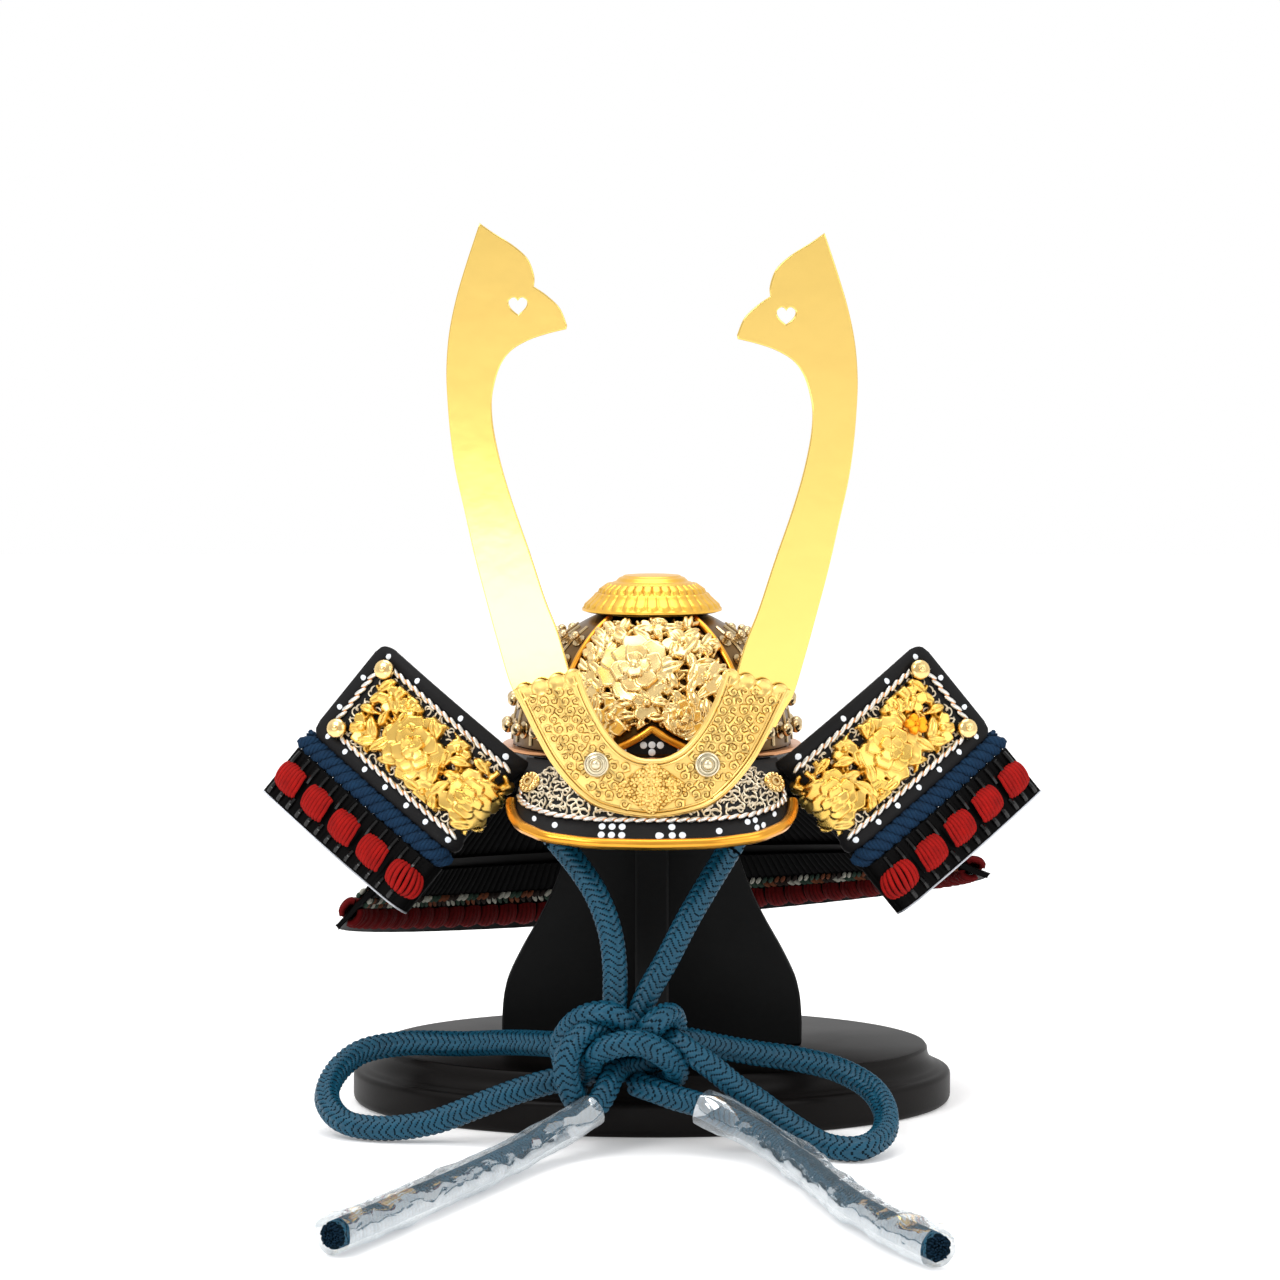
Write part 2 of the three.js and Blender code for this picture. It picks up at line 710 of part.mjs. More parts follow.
function visorPoint(across, out, off) {
  const angle = across * visorRootAngle * degree;
  const root = vector(Math.sin(angle), -Math.cos(angle), 0).multiplyScalar(visorRootRadius);
  root.add(vector(0, helmetY, visorRootZ));
  const edge = visorEdgePoint(across);
  const outward = vector(Math.sin(angle) * 0.6, -Math.cos(angle) * 0.6, 0.8).normalize();
  const rise = visorSwell * Math.sin(Math.PI * out) * (1 - 0.5 * Math.abs(across));
  return root.lerp(edge, out).addScaledVector(outward, rise + off);
}

const visorSheet = () => sheet(16, 3, (u, v, face) => visorPoint(2 * u - 1, v, (face - 1) * visorWall));

// The way round the visor's free edge, a little inside it or beyond it
function visorRound(inset, off) {
  const points = [];
  const add = (across, out) => points.push(visorPoint(across, out, off));
  const corner = 1 - inset * 0.6;
  add(-corner, 0.45);
  for (let i = -6; i <= 6; i += 1) add((i / 6) * corner, 1 - inset);
  add(corner, 0.45);
  return points;
}

function visorRim() {
  const reach = visorRimRadius + 2 * gap;
  const points = [];
  for (let i = -7; i <= 7; i += 1) {
    const edge = visorEdgePoint(i / 7);
    const away = vector(edge.x, (edge.y - helmetY) * 0.8, -8).normalize();
    points.push(visorPoint(i / 7, 1, -visorWall / 2).addScaledVector(away, reach));
  }
  return tube(points, visorRimRadius, 8, 14);
}

const visorPiping = () => tube(
  visorRound(0.17, visorPipingRadius + gap + 0.3), visorPipingRadius, 5, 18,
);

function domed(radius, height, sides) {
  return turned([[0, 0], [radius, 0], [radius, height * 0.4], [radius * 0.5, height], [0, height]], sides);
}

function rosette(side) {
  const place = visorPoint(side * 0.8, 0.5, rosetteOff);
  const direction = vector(side * 0.45, -0.75, 0.5).normalize();
  return stood(domed(rosetteRadius, 1.8, 8), place, direction);
}

// Crest base: an engraved U with raised rims, curving back at its arms
const crestCurve = (rows) => {
  const half = rows.map(({ across, up }) => new THREE.Vector2(across * crestHalfWidth, up * crestHeight));
  const left = half.slice(1).reverse().map((p) => new THREE.Vector2(-p.x, p.y));
  return new THREE.SplineCurve([...left, ...half]);
};
const crestOuterCurve = crestCurve(crestOuter);
const crestInnerCurve = crestCurve(crestInner);
const crestBack = (x) => crestY + x ** 2 / (2 * crestBendRadius);

function crestBase() {
  const across = [0, 0.1, 0.15, 0.85, 0.9, 1];
  return sheet(14, across.length - 1, (u, v, face) => {
    const row = Math.round(v * (across.length - 1));
    const a = crestOuterCurve.getPoint(u);
    const b = crestInnerCurve.getPoint(u);
    const at = a.lerp(b, across[row]);
    const rim = row < 2 || row > 3 ? crestRimRaise : 0;
    const depth = face * (crestThickness + rim);
    return vector(at.x, crestBack(at.x) - depth, crestBottomZ + at.y);
  });
}

function crestStud(side) {
  const x = side * studAcross * crestHalfWidth;
  const place = vector(x, crestBack(x) - crestThickness - gap, crestBottomZ + studUp * crestHeight);
  const direction = vector(side * 0.12, -1, 0).normalize();
  return stood(domed(studRadius, studHeight, 10), place, direction);
}

// Horn blade with its heart-shaped hole, its tang behind the crest base
function heart(width) {
  const shape = new THREE.Path();
  const half = width / 2;
  shape.moveTo(0, -half);
  shape.quadraticCurveTo(half * 1.2, -half * 0.2, half, half * 0.5);
  shape.quadraticCurveTo(half * 0.4, half * 1.2, 0, half * 0.45);
  shape.quadraticCurveTo(-half * 0.4, half * 1.2, -half, half * 0.5);
  shape.quadraticCurveTo(-half * 1.2, -half * 0.2, 0, -half);
  return shape;
}

function blade(side, drop) {
  const toPlane = ({ out, up }) => new THREE.Vector2(side * out * bladeReach, up * bladeHeight);
  const smooth = (rows, steps) => new THREE.SplineCurve(rows.map(toPlane)).getPoints(steps);
  const foot = [
    new THREE.Vector2(side * (bladeInner[bladeInner.length - 1].out * bladeReach - 1), -bladeTang),
    new THREE.Vector2(side * (bladeOuter[0].out * bladeReach - bladeTang * 0.5), -bladeTang),
  ];
  const outline = [
    ...foot,
    ...smooth(bladeOuter, 12),
    ...smooth(bladeCrown, 6).slice(1),
    ...smooth(bladeBeak, 4).slice(1),
    ...smooth(bladeInner, 13),
  ];
  const shape = new THREE.Shape(outline);
  const hole = new THREE.Path(heart(heartWidth).getPoints(3));
  const middle = toPlane(heartPlace);
  hole.curves.forEach((curve) => {
    curve.v1.add(middle);
    curve.v2.add(middle);
  });
  shape.holes.push(hole);
  const plate = new THREE.ExtrudeGeometry(shape, { depth: bladeThickness, bevelEnabled: false });
  const footX = side * bladeReach * 0.53;
  const yaw = Math.atan(footX / crestBendRadius);
  const bottomZ = crestBottomZ + crestHeight * 0.85 - 2.6 - drop;
  plate.translate(-footX, 0, 0).rotateX(Math.PI / 2 + bladeLean * degree).rotateZ(yaw);
  return plate.translate(footX, crestBack(footX) + bladeThickness + 2 * gap + 0.4, bottomZ);
}

// Turned-back plate, drawn for the +X side: along it, across its height and off its face
const plateAlong = vector(
  Math.cos(plateRise * degree) * Math.cos(plateSweep * degree),
  Math.sin(plateSweep * degree),
  Math.sin(plateRise * degree) * Math.cos(plateSweep * degree),
);
const plateUp = vector(-Math.sin(plateRise * degree), 0, Math.cos(plateRise * degree));
const plateOff = plateAlong.clone().cross(plateUp).normalize();
if (plateOff.y > 0) plateOff.negate();
const foldApex = vector(foldX, foldY, foldZ);
const foldLength = foldRadius * foldTurn * degree;
const flatStart = foldApex.clone().addScaledVector(plateOff, foldRadius).addScaledVector(plateAlong, foldRadius);

// A point of a turned-back strip: along from its fold, up from the plate's lower edge, off its face
function stripPoint(along, up, off) {
  const place = flatStart.clone().addScaledVector(plateUp, up);
  if (along >= 0) {
    const bow = plateBow * Math.sin(Math.PI * Math.min(along / plateLength, 1));
    return place.addScaledVector(plateAlong, along).addScaledVector(plateOff, bow + off);
  }
  const turn = -along / foldRadius;
  const reach = foldRadius + off;
  place.addScaledVector(plateOff, -foldRadius);
  return place.addScaledVector(plateOff, reach * Math.cos(turn)).addScaledVector(plateAlong, -reach * Math.sin(turn));
}

// A strip from the front end of a lame, forward, round the fold and out along the plate
function turnedStrip(low, high, lameFront, columns) {
  const leadShare = 0.28;
  return sheet(columns, 1, (u, v, face) => {
    const up = THREE.MathUtils.lerp(low, high, v);
    const off = (face - 0.5) * plateWall;
    if (u >= leadShare) {
      const along = THREE.MathUtils.lerp(-foldLength, plateLength, (u - leadShare) / (1 - leadShare));
      return stripPoint(along, up, off);
    }
    const start = lameFront(v, face);
    return start.lerp(stripPoint(-foldLength, up, off), u / leadShare);
  });
}

// Neck guard lames: a point by lame, angle from the back, share down and distance off the face
const neckTuck = lameWall * Math.SQRT2 + 1.5 * gap;
const dropTo = (level) => neckDrops.reduce((sum, drop, lame) => sum + drop * Math.min(Math.max(level - lame, 0), 1), 0);

function lamePoint(lame, angle, down, off) {
  const level = lame + down;
  const slope = Math.hypot(neckStep, neckDrops[lame]);
  const radius = neckTopRadius + neckStep * level + (off * neckDrops[lame]) / slope;
  const x = radius * Math.sin(angle);
  const y = helmetY + radius * Math.cos(angle);
  const back = neckBackDrop * (level / neckDrops.length) ** 2 * Math.max(Math.cos(angle), 0);
  const sway = Math.max(level - 1, 0) * 0.5;
  const roll = Math.tan(neckRoll * degree) * sway * x;
  const z = neckTopZ - dropTo(level) - lame * neckTuck + (off * neckStep) / slope - back + roll;
  return vector(x + neckShift * sway, y, z);
}

// Columns of facets round each lame: the last one stops a column short at either end
const neckColumns = [16, 16, 14];
const neckAngle = (lame, u) => {
  const end = neckEnd * (neckColumns[lame] / neckColumns[0]) * degree;
  return THREE.MathUtils.lerp(-end, end, u);
};

// A lame, whose top row is tucked under the lame above it
function neckLame(lame) {
  const downs = lame ? [-neckOverlap, 0, 1] : [0, 1];
  return sheet(neckColumns[lame], downs.length - 1, (u, v, face) => (
    lamePoint(lame, neckAngle(lame, u), downs[Math.round(v * (downs.length - 1))], (face - 1) * lameWall)
  ));
}

// Lacing that covers a lame's outer face between two shares of its height
const neckCover = (lame, from, to, thickness) => sheet(neckColumns[lame], 1, (u, v, face) => (
  lamePoint(lame, neckAngle(lame, u), THREE.MathUtils.lerp(from, to, v), laceOff + face * thickness)
));

function neckRed() {
  const knotColumns = redKnots * 2;
  return sheet(knotColumns, 1, (u, v, face) => {
    const column = Math.round(u * knotColumns);
    const thickness = column % 2 === 1 ? redThickness : redThickness * 0.4;
    return lamePoint(2, neckAngle(2, u), THREE.MathUtils.lerp(0.66, 0.94, v), laceOff + face * thickness);
  });
}

// Turned-back pieces of the +X side
const lameFrontAt = (lame) => (v, face) => {
  const advance = (1.5 * gap) / (neckTopRadius + neckStep * lame);
  const down = THREE.MathUtils.lerp(0.92, 0.08, v);
  return lamePoint(lame, neckEnd * degree + advance, down, (face - 0.5) * plateWall - lameWall / 2);
};
const ropeHeight = 2 * ropeRadius + gap;
const lowerTop = -ropeHeight - gap;
const lowerBottom = lowerTop - lowerLameHeight;

const turnbackPlate = () => turnedStrip(0, plateHeight, lameFrontAt(0), 18);
const turnbackLame = () => turnedStrip(lowerBottom, lowerTop, lameFrontAt(1), 18);

function turnbackRope() {
  const points = [];
  for (let i = 0; i <= 8; i += 1) {
    const along = THREE.MathUtils.lerp(-foldLength * 0.9, plateLength, i / 8);
    points.push(stripPoint(along, -ropeRadius - gap, plateWall / 2 - ropeRadius * 0.6));
  }
  return tube(points, ropeRadius, 8, 8);
}

function turnbackPiping() {
  const off = plateWall / 2 + 3 * gap + platePipingRadius;
  const low = plateMargin;
  const high = plateHeight - plateMargin;
  const end = plateLength - plateMargin;
  const points = [];
  for (let i = 0; i <= 5; i += 1) points.push(stripPoint(THREE.MathUtils.lerp(-5, end - 2, i / 5), low, off));
  points.push(stripPoint(end, low + 2, off));
  points.push(stripPoint(end, high - 2, off));
  for (let i = 0; i <= 5; i += 1) points.push(stripPoint(THREE.MathUtils.lerp(end - 2, -5, i / 5), high, off));
  return tube(points, platePipingRadius, 5, 16);
}

function turnbackOpenwork() {
  const low = plateMargin + 2;
  const high = plateHeight - plateMargin - 2;
  const start = -foldLength * 0.75;
  const end = plateLength - plateMargin - 7;
  const base = plateWall / 2 + 3 * gap;
  const at = (along, up, off) => stripPoint(
    THREE.MathUtils.lerp(start, end, along), THREE.MathUtils.lerp(low, high, up), off,
  );
  const panel = sheet(12, 1, (u, v, face) => at(u, v, base + face * plateOpenworkThickness));
  const spot = ({ along, up, size }) => {
    const place = at(along, up, base + plateOpenworkThickness);
    return { place, direction: at(along, up, base + 5).sub(place).normalize(), size };
  };
  return pierced(panel, plateGaps.map(spot), plateFlowers.map(spot));
}

function turnbackKnob(up) {
  const along = plateLength - plateMargin - 2.4;
  const place = stripPoint(along, up, plateWall / 2 + 4.5 * gap + 2 * platePipingRadius);
  return stood(domed(knobRadius, knobHeight, 8), place, plateOff);
}

function turnbackRed() {
  const base = plateWall / 2 + 4 * gap;
  const middle = (lowerTop + lowerBottom) / 2;
  const strip = sheet(5, 1, (u, v, face) => stripPoint(
    THREE.MathUtils.lerp(-5, plateLength - 1.5, u), middle + (v - 0.5) * 2, base + face * 0.8,
  ));
  const parts = [strip];
  for (let k = 0; k < plateKnots; k += 1) {
    const size = 4.6;
    const along = THREE.MathUtils.lerp(firstKnot, plateLength - lastKnotInset, k / (plateKnots - 1));
    const knot = new THREE.IcosahedronGeometry(size, 0).scale(1, 1, knotFlat);
    const place = stripPoint(along, middle, base + size * knotFlat * 0.9);
    parts.push(stood(knot, place, plateOff));
  }
  return geometryOf(joined(parts), 0.1);
}

// Chin cord: tubes outside the knot, and the knot as one fused solid
const cordRadius = cordDiameter / 2;
const cordSides = 8;
const cordTube = (route, steps) => tube(route, cordRadius, cordSides, steps);

function knotBall(share, grow) {
  const { x, y, z, acrossRadius, depthRadius, heightRadius } = knotRoom;
  const ball = new THREE.SphereGeometry(1, 10, 6);
  ball.scale(acrossRadius * share + grow, depthRadius * share + grow, heightRadius * share + grow);
  return ball.translate(x, y, z);
}

const knotSpace = (grow) => solidOf(knotBall(1, grow));

// The tail's stations, a step of cord apart, which its sleeve shares
const tailSteps = 8;
const stationsOf = (route) => new THREE.CatmullRomCurve3(
  route.map((p) => vector(...p)), false, 'centripetal',
).getSpacedPoints(tailSteps);
const tailLeftStations = stationsOf(tailLeftRoute);
const tailRightStations = stationsOf(tailRightRoute);

function cordKnot() {
  const inside = [
    [dropLeftRoute, 4], [dropRightRoute, 4], [loopLeftRoute, 12], [loopRightRoute, 12],
    [wrapAcrossRoute, 6], [wrapOverRoute, 6], [wrapSideRoute, 5], [wrapTopRoute, 6],
    [tailLeftStations, tailSteps], [tailRightStations, tailSteps],
  ].map(([route, steps]) => tube(route, cordRadius, knotSides, steps));
  return geometryOf(joined([knotBall(knotCore, 0), ...inside]).intersect(knotSpace(-gap / 2)), knotDetail);
}

const outsideKnot = (route, steps) => geometryOf(solidOf(cordTube(route, steps)).subtract(knotSpace(gap / 2)));

// A sleeve of film round a tail, from the knot to the tail's end, open at both ends
function film(stations) {
  const inside = (cordRadius + gap) / Math.cos(Math.PI / cordSides);
  const shell = solidOf(tube(stations, inside + filmWall, cordSides, tailSteps));
  const [before, last] = stations.slice(-2);
  const beyond = before.clone().lerp(last, 2);
  const bore = solidOf(tube([...stations, beyond], inside, cordSides, tailSteps + 1));
  return geometryOf(shell.subtract(bore).subtract(knotSpace(gap / 2)));
}

// Stand
piece('stand_base', standBase(), blackBase);
piece('stand_board_front', board(true), blackBoard).position.set(0, helmetY, 0);
const sideBoard = piece('stand_board_side', board(false), blackBoard);
sideBoard.position.set(0, helmetY, 0);
sideBoard.rotation.set(0, 0, Math.PI / 2);

// Bowl, front openwork and finial
piece('bowl', bowl(), bronze);
piece('waist_band', waistBand(), blackLacquer);
piece('top_finial', finial(), richGold);
piece('front_openwork', frontOpenwork(), paleGold);
piece('openwork_border', openworkBorder(), richGold);
[['left', -1], ['right', 1]].forEach(([name, side]) => {
  piece(`openwork_rib_${name}`, bowlRib(side), richGold);
  piece(`visor_rosette_${name}`, rosette(side), paleGold);
  piece(`crest_stud_${name}`, crestStud(side), paleGold);
});

// Visor and crest
piece('visor', visorSheet(), leather);
piece('visor_rim', visorRim(), richGold);
piece('visor_piping', visorPiping(), silver);
piece('crest_base', crestBase(), richGold);
piece('crest_blade_left', blade(-1, 0), paleGold);
piece('crest_blade_right', blade(1, bladeRightDrop), paleGold);

// Turned-back plates
const turnedPieces = [
  ['plate', turnbackPlate(), leather],
  ['piping', turnbackPiping(), silver],
  ['openwork', turnbackOpenwork(), paleGold],
  ['knob_lower', turnbackKnob(plateMargin + 1.5), paleGold],
  ['knob_upper', turnbackKnob(plateHeight - plateMargin - 1.5), paleGold],
  ['rope', turnbackRope(), navyRope],
  ['lame', turnbackLame(), blackLacquer],
  ['red_lacing', turnbackRed(), redYarn],
];
turnedPieces.forEach(([name, geometry, material]) => {
  piece(`turnback_${name}_right`, geometry, material);
  piece(`turnback_${name}_left`, mirrored(geometry), material);
});

// Neck guard
[0, 1, 2].forEach((lame) => piece(`neck_lame_${lame + 1}`, neckLame(lame), blackLacquer));
piece('neck_lacing_1', neckCover(0, 0.1, 0.86, laceThickness), blackLace);
piece('neck_lacing_2', neckCover(1, 0.1, 0.86, laceThickness), blackLace);
piece('neck_lacing_3', neckCover(2, 0.1, 0.42, laceThickness), blackLace);
piece('neck_braid', neckCover(2, 0.44, 0.44 + braidHeight / 27, braidThickness), braidYarn);
piece('neck_red_lacing', neckRed(), redYarn);

// Chin cord and its film sleeves
piece('cord_neck', cordTube(neckRoute, 14), tealCord);
piece('cord_drop_left', outsideKnot(dropLeftRoute, 4), tealCord);
piece('cord_drop_right', outsideKnot(dropRightRoute, 4), tealCord);
piece('cord_knot', cordKnot(), tealCord);
piece('cord_loop_left', outsideKnot(loopLeftRoute, 12), tealCord);
piece('cord_loop_right', outsideKnot(loopRightRoute, 12), tealCord);
piece('cord_tail_left', outsideKnot(tailLeftStations, tailSteps), tealCord);
piece('cord_tail_right', outsideKnot(tailRightStations, tailSteps), tealCord);
piece('film_sleeve_left', film(tailLeftStations), clearFilm);
piece('film_sleeve_right', film(tailRightStations), clearFilm);

export default kabuto;
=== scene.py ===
import math

import bpy
import numpy as np
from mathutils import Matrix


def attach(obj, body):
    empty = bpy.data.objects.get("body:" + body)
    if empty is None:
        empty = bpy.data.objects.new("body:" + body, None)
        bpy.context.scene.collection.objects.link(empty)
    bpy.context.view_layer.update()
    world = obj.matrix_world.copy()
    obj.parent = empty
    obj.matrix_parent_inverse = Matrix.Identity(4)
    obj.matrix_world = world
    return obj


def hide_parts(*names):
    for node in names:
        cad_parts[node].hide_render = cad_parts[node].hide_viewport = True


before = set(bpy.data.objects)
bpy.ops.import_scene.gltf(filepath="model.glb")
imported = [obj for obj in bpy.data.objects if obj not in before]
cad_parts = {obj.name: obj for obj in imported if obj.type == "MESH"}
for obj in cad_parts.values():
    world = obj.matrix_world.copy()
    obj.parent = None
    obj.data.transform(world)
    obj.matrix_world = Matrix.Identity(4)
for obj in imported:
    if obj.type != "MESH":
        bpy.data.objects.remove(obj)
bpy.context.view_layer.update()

MM = 0.001
DEG = math.pi / 180
GAP = 0.3
rng = np.random.default_rng(11)


# Numbers shared with the solids, in millimetres
HELMET_Y = -5.0
BRIM_Z = 118.0
BOWL_R = 45.0
BOWL_TOP = 41.5
BASE_HALF = (97.5, 68.0)
BASE_WALL = 11.0
BASE_TOP = 19.0
BOARD_THICK = 10.5
BOARD_HALF = 48.6
CORD_D = 8.0


# Small maths helpers
def arr(*values):
    return np.array(values, dtype=float)


def unit(v):
    return v / np.maximum(np.linalg.norm(v, axis=-1, keepdims=True), 1e-12)


def lerp(a, b, t):
    return a + (b - a) * t


def spline(points, per_mm=None, count=None):
    """Centripetal Catmull-Rom curve through the points, at even steps along it."""
    p = np.array(points, dtype=float)
    p = np.vstack([2 * p[0] - p[1], p, 2 * p[-1] - p[-2]])
    out = []
    t = np.linspace(0, 1, 25)[:-1, None]
    for i in range(1, len(p) - 2):
        d0, d1, d2 = (max(np.linalg.norm(p[k + 1] - p[k]), 1e-6) ** 0.5 for k in (i - 1, i, i + 1))
        t1 = ((p[i] - p[i - 1]) / d0 - (p[i + 1] - p[i - 1]) / (d0 + d1) + (p[i + 1] - p[i]) / d1) * d1
        t2 = ((p[i + 1] - p[i]) / d1 - (p[i + 2] - p[i]) / (d1 + d2) + (p[i + 2] - p[i + 1]) / d2) * d1
        a = p[i]
        b = t1
        c = -3 * p[i] + 3 * p[i + 1] - 2 * t1 - t2
        d = 2 * p[i] - 2 * p[i + 1] + t1 + t2
        out.append(a + b * t + c * t**2 + d * t**3)
    fine = np.vstack(out + [p[-2][None]])
    return resample(fine, per_mm, count)


def length_of(path):
    return float(np.linalg.norm(np.diff(path, axis=0), axis=1).sum())


def distances(path):
    """Distance along the path to each of its points."""
    return np.concatenate([[0], np.cumsum(np.linalg.norm(np.diff(path, axis=0), axis=1))])


def resample(path, per_mm=None, count=None):
    reach = distances(path)
    steps = count or max(2, int(round(reach[-1] / per_mm)))
    at = np.linspace(0, reach[-1], steps + 1)
    return np.stack([np.interp(at, reach, path[:, k]) for k in range(path.shape[1])], axis=1)


def frames(path):
    """Tangents and two normals along a path, turning as little as they can."""
    tangent = unit(np.gradient(path, axis=0))
    normal = np.zeros_like(path)
    first = np.cross(tangent[0], arr(0, 0, 1))
    if np.linalg.norm(first) < 0.1:
        first = np.cross(tangent[0], arr(0, 1, 0))
    normal[0] = unit(first)
    for i in range(1, len(path)):
        n = normal[i - 1] - tangent[i] * normal[i - 1].dot(tangent[i])
        normal[i] = unit(n)
    return tangent, normal, np.cross(tangent, normal)


# Mesh builders. Each gives (points in mm, faces)
def grid_faces(rows, cols, wrap=False):
    i, j = np.meshgrid(np.arange(rows - 1), np.arange(cols if wrap else cols - 1), indexing="ij")
    a = i * cols + j
    b = i * cols + (j + 1) % cols
    return np.stack([a, b, b + cols, a + cols], axis=-1).reshape(-1, 4)


def tube(path, radius, sides, capped=True):
    """Tube along a path. radius may be a number, one for each ring, or one for each point."""
    path = np.asarray(path, dtype=float)
    n = len(path)
    _, nor, bin_ = frames(path)
    angle = np.arange(sides) / sides * 2 * math.pi
    if np.ndim(radius) == 1:
        radius = np.asarray(radius, dtype=float).reshape(-1, 1)
    r = np.broadcast_to(radius, (n, sides))
    ring = nor[:, None] * np.cos(angle)[None, :, None] + bin_[:, None] * np.sin(angle)[None, :, None]
    v = (path[:, None] + ring * r[..., None]).reshape(-1, 3)
    f = grid_faces(n, sides, wrap=True)[:, ::-1].tolist()
    if capped:
        v = np.vstack([v, path[0], path[-1]])
        a, b = n * sides, n * sides + 1
        for k in range(sides):
            f.append([a, (k + 1) % sides, k])
            f.append([b, (n - 1) * sides + k, (n - 1) * sides + (k + 1) % sides])
    return v, f


def twist(path, strands, radius, offset, pitch, sides):
    """Twisted rope: strands that wind round a path."""
    _, nor, bin_ = frames(path)
    at = distances(path)
    made = []
    for k in range(strands):
        a = 2 * math.pi * (at / pitch + k / strands)
        centre = path + offset * (nor * np.cos(a)[:, None] + bin_ * np.sin(a)[:, None])
        made.append(tube(centre, radius, sides))
    return made


def sheet(cols, rows, place):
    """Closed sheet. place(u, v, face) takes arrays and gives points; face is 0 inside and 1 outside."""
    u, v = np.meshgrid(np.linspace(0, 1, cols + 1), np.linspace(0, 1, rows + 1), indexing="ij")
    outer = place(u, v, 1).reshape(-1, 3)
    inner = place(u, v, 0).reshape(-1, 3)
    n = len(outer)
    faces = grid_faces(cols + 1, rows + 1)
    f = faces.tolist() + (faces[:, ::-1] + n).tolist()
    r = rows + 1
    for i in range(cols):
        a, b = i * r, (i + 1) * r
        f.append([b, a, a + n, b + n])
        f.append([a + rows, b + rows, b + rows + n, a + rows + n])
    for j in range(rows):
        a = cols * r + j
        f.append([j, j + 1, j + 1 + n, j + n])
        f.append([a + 1, a, a + n, a + 1 + n])
    return np.vstack([outer, inner]), f


def turned(profile, segments, centre=(0, 0, 0), squash=(1, 1)):
    """Turned shape whose profile (r, z) starts and ends on the axis."""
    prof = np.array(profile, dtype=float)
    angle = np.arange(segments) / segments * 2 * math.pi
    x = prof[:, :1] * np.cos(angle) * squash[0]
    y = prof[:, :1] * np.sin(angle) * squash[1]
    z = np.repeat(prof[:, 1:], segments, axis=1)
    v = np.stack([x, y, z], axis=-1).reshape(-1, 3) + np.array(centre)
    return v, grid_faces(len(prof), segments, wrap=True).tolist()


def ball(radius, segments, rings, scale=(1, 1, 1)):
    a = np.linspace(-math.pi / 2, math.pi / 2, rings)
    v, f = turned(np.stack([radius * np.cos(a), radius * np.sin(a)], axis=1), segments)
    return v * np.array(scale), f


def aligned(v, place, up):
    """Points made round the origin with +Z up, stood at a place along a direction."""
    z = unit(np.asarray(up, dtype=float))
    x = np.cross(arr(0, 0, 1), z)
    if np.linalg.norm(x) < 1e-6:
        x = arr(1, 0, 0)
    x = unit(x)
    y = np.cross(z, x)
    return v[:, :1] * x + v[:, 1:2] * y + v[:, 2:] * z + np.asarray(place)


class Bag:
    """Collects bodies, each with a finish number, into one mesh."""

    def __init__(self):
        self.points, self.faces, self.finish, self.count = [], [], [], 0

    def add(self, made, finish=0):
        v, f = made
        self.points.append(np.asarray(v, dtype=float))
        faces = f.tolist() if hasattr(f, "tolist") else f
        self.faces.extend([[i + self.count for i in face] for face in faces])
        self.finish.extend([finish] * len(f) if np.ndim(finish) == 0 else list(finish))
        self.count += len(v)

    def lay(self, made, place, finish=0, at=(0, 0, 0)):
        """Adds a plane motif, moved to at, on the surface that place(across, up, off) gives."""
        v, f = made
        self.add((place(v[:, 0] + at[0], v[:, 1] + at[1], v[:, 2] + at[2]), f), finish)

    def stand(self, made, spot, up, finish=0):
        """Adds a body made round the origin, stood at a spot along a direction."""
        v, f = made
        self.add((aligned(v, spot, up), f), finish)

    def mirrored(self):
        other = Bag()
        other.points = [p * arr(-1, 1, 1) for p in self.points]
        other.faces = [face[::-1] for face in self.faces]
        other.finish, other.count = list(self.finish), self.count
        return other

    def make(self, name, finishes, slot, replaces=(), angle=40, bevel=0.0):
        mesh = bpy.data.meshes.new(name)
        mesh.from_pydata((np.vstack(self.points) * MM).tolist(), [], self.faces)
        for finish in finishes:
            mesh.materials.append(finish)
        mesh.polygons.foreach_set("material_index", self.finish)
        mesh.polygons.foreach_set("use_smooth", [True] * len(self.faces))
        mesh.validate()
        mesh.set_sharp_from_angle(angle=angle * DEG)
        piece = bpy.data.objects.new(name, mesh)
        bpy.context.scene.collection.objects.link(piece)
        if bevel:
            edge = piece.modifiers.new("edge", "BEVEL")
            edge.width = bevel * MM
            edge.segments = 2
            edge.limit_method = "ANGLE"
            edge.angle_limit = angle * DEG
        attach(piece, "root")
        if replaces:
            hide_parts(*replaces)
        return piece


def one(name, made, finish, slot, replaces=(), angle=40, bevel=0.0):
    bag = Bag()
    bag.add(made)
    return bag.make(name, [finish], slot, replaces, angle, bevel)


# Materials
def linear(code):
    channels = [int(code[i : i + 2], 16) / 255 for i in (0, 2, 4)]
    return [c / 12.92 if c <= 0.04045 else ((c + 0.055) / 1.055) ** 2.4 for c in channels] + [1.0]


def add(tree, kind, links=None, **settings):
    """Adds a node. links sets inputs by name or number, from a socket or to a value."""
    node = tree.nodes.new(kind)
    for key, value in settings.items():
        setattr(node, key, value)
    for key, value in (links or {}).items():
        if isinstance(value, bpy.types.NodeSocket):
            tree.links.new(value, node.inputs[key])
        else:
            node.inputs[key].default_value = value
    return node


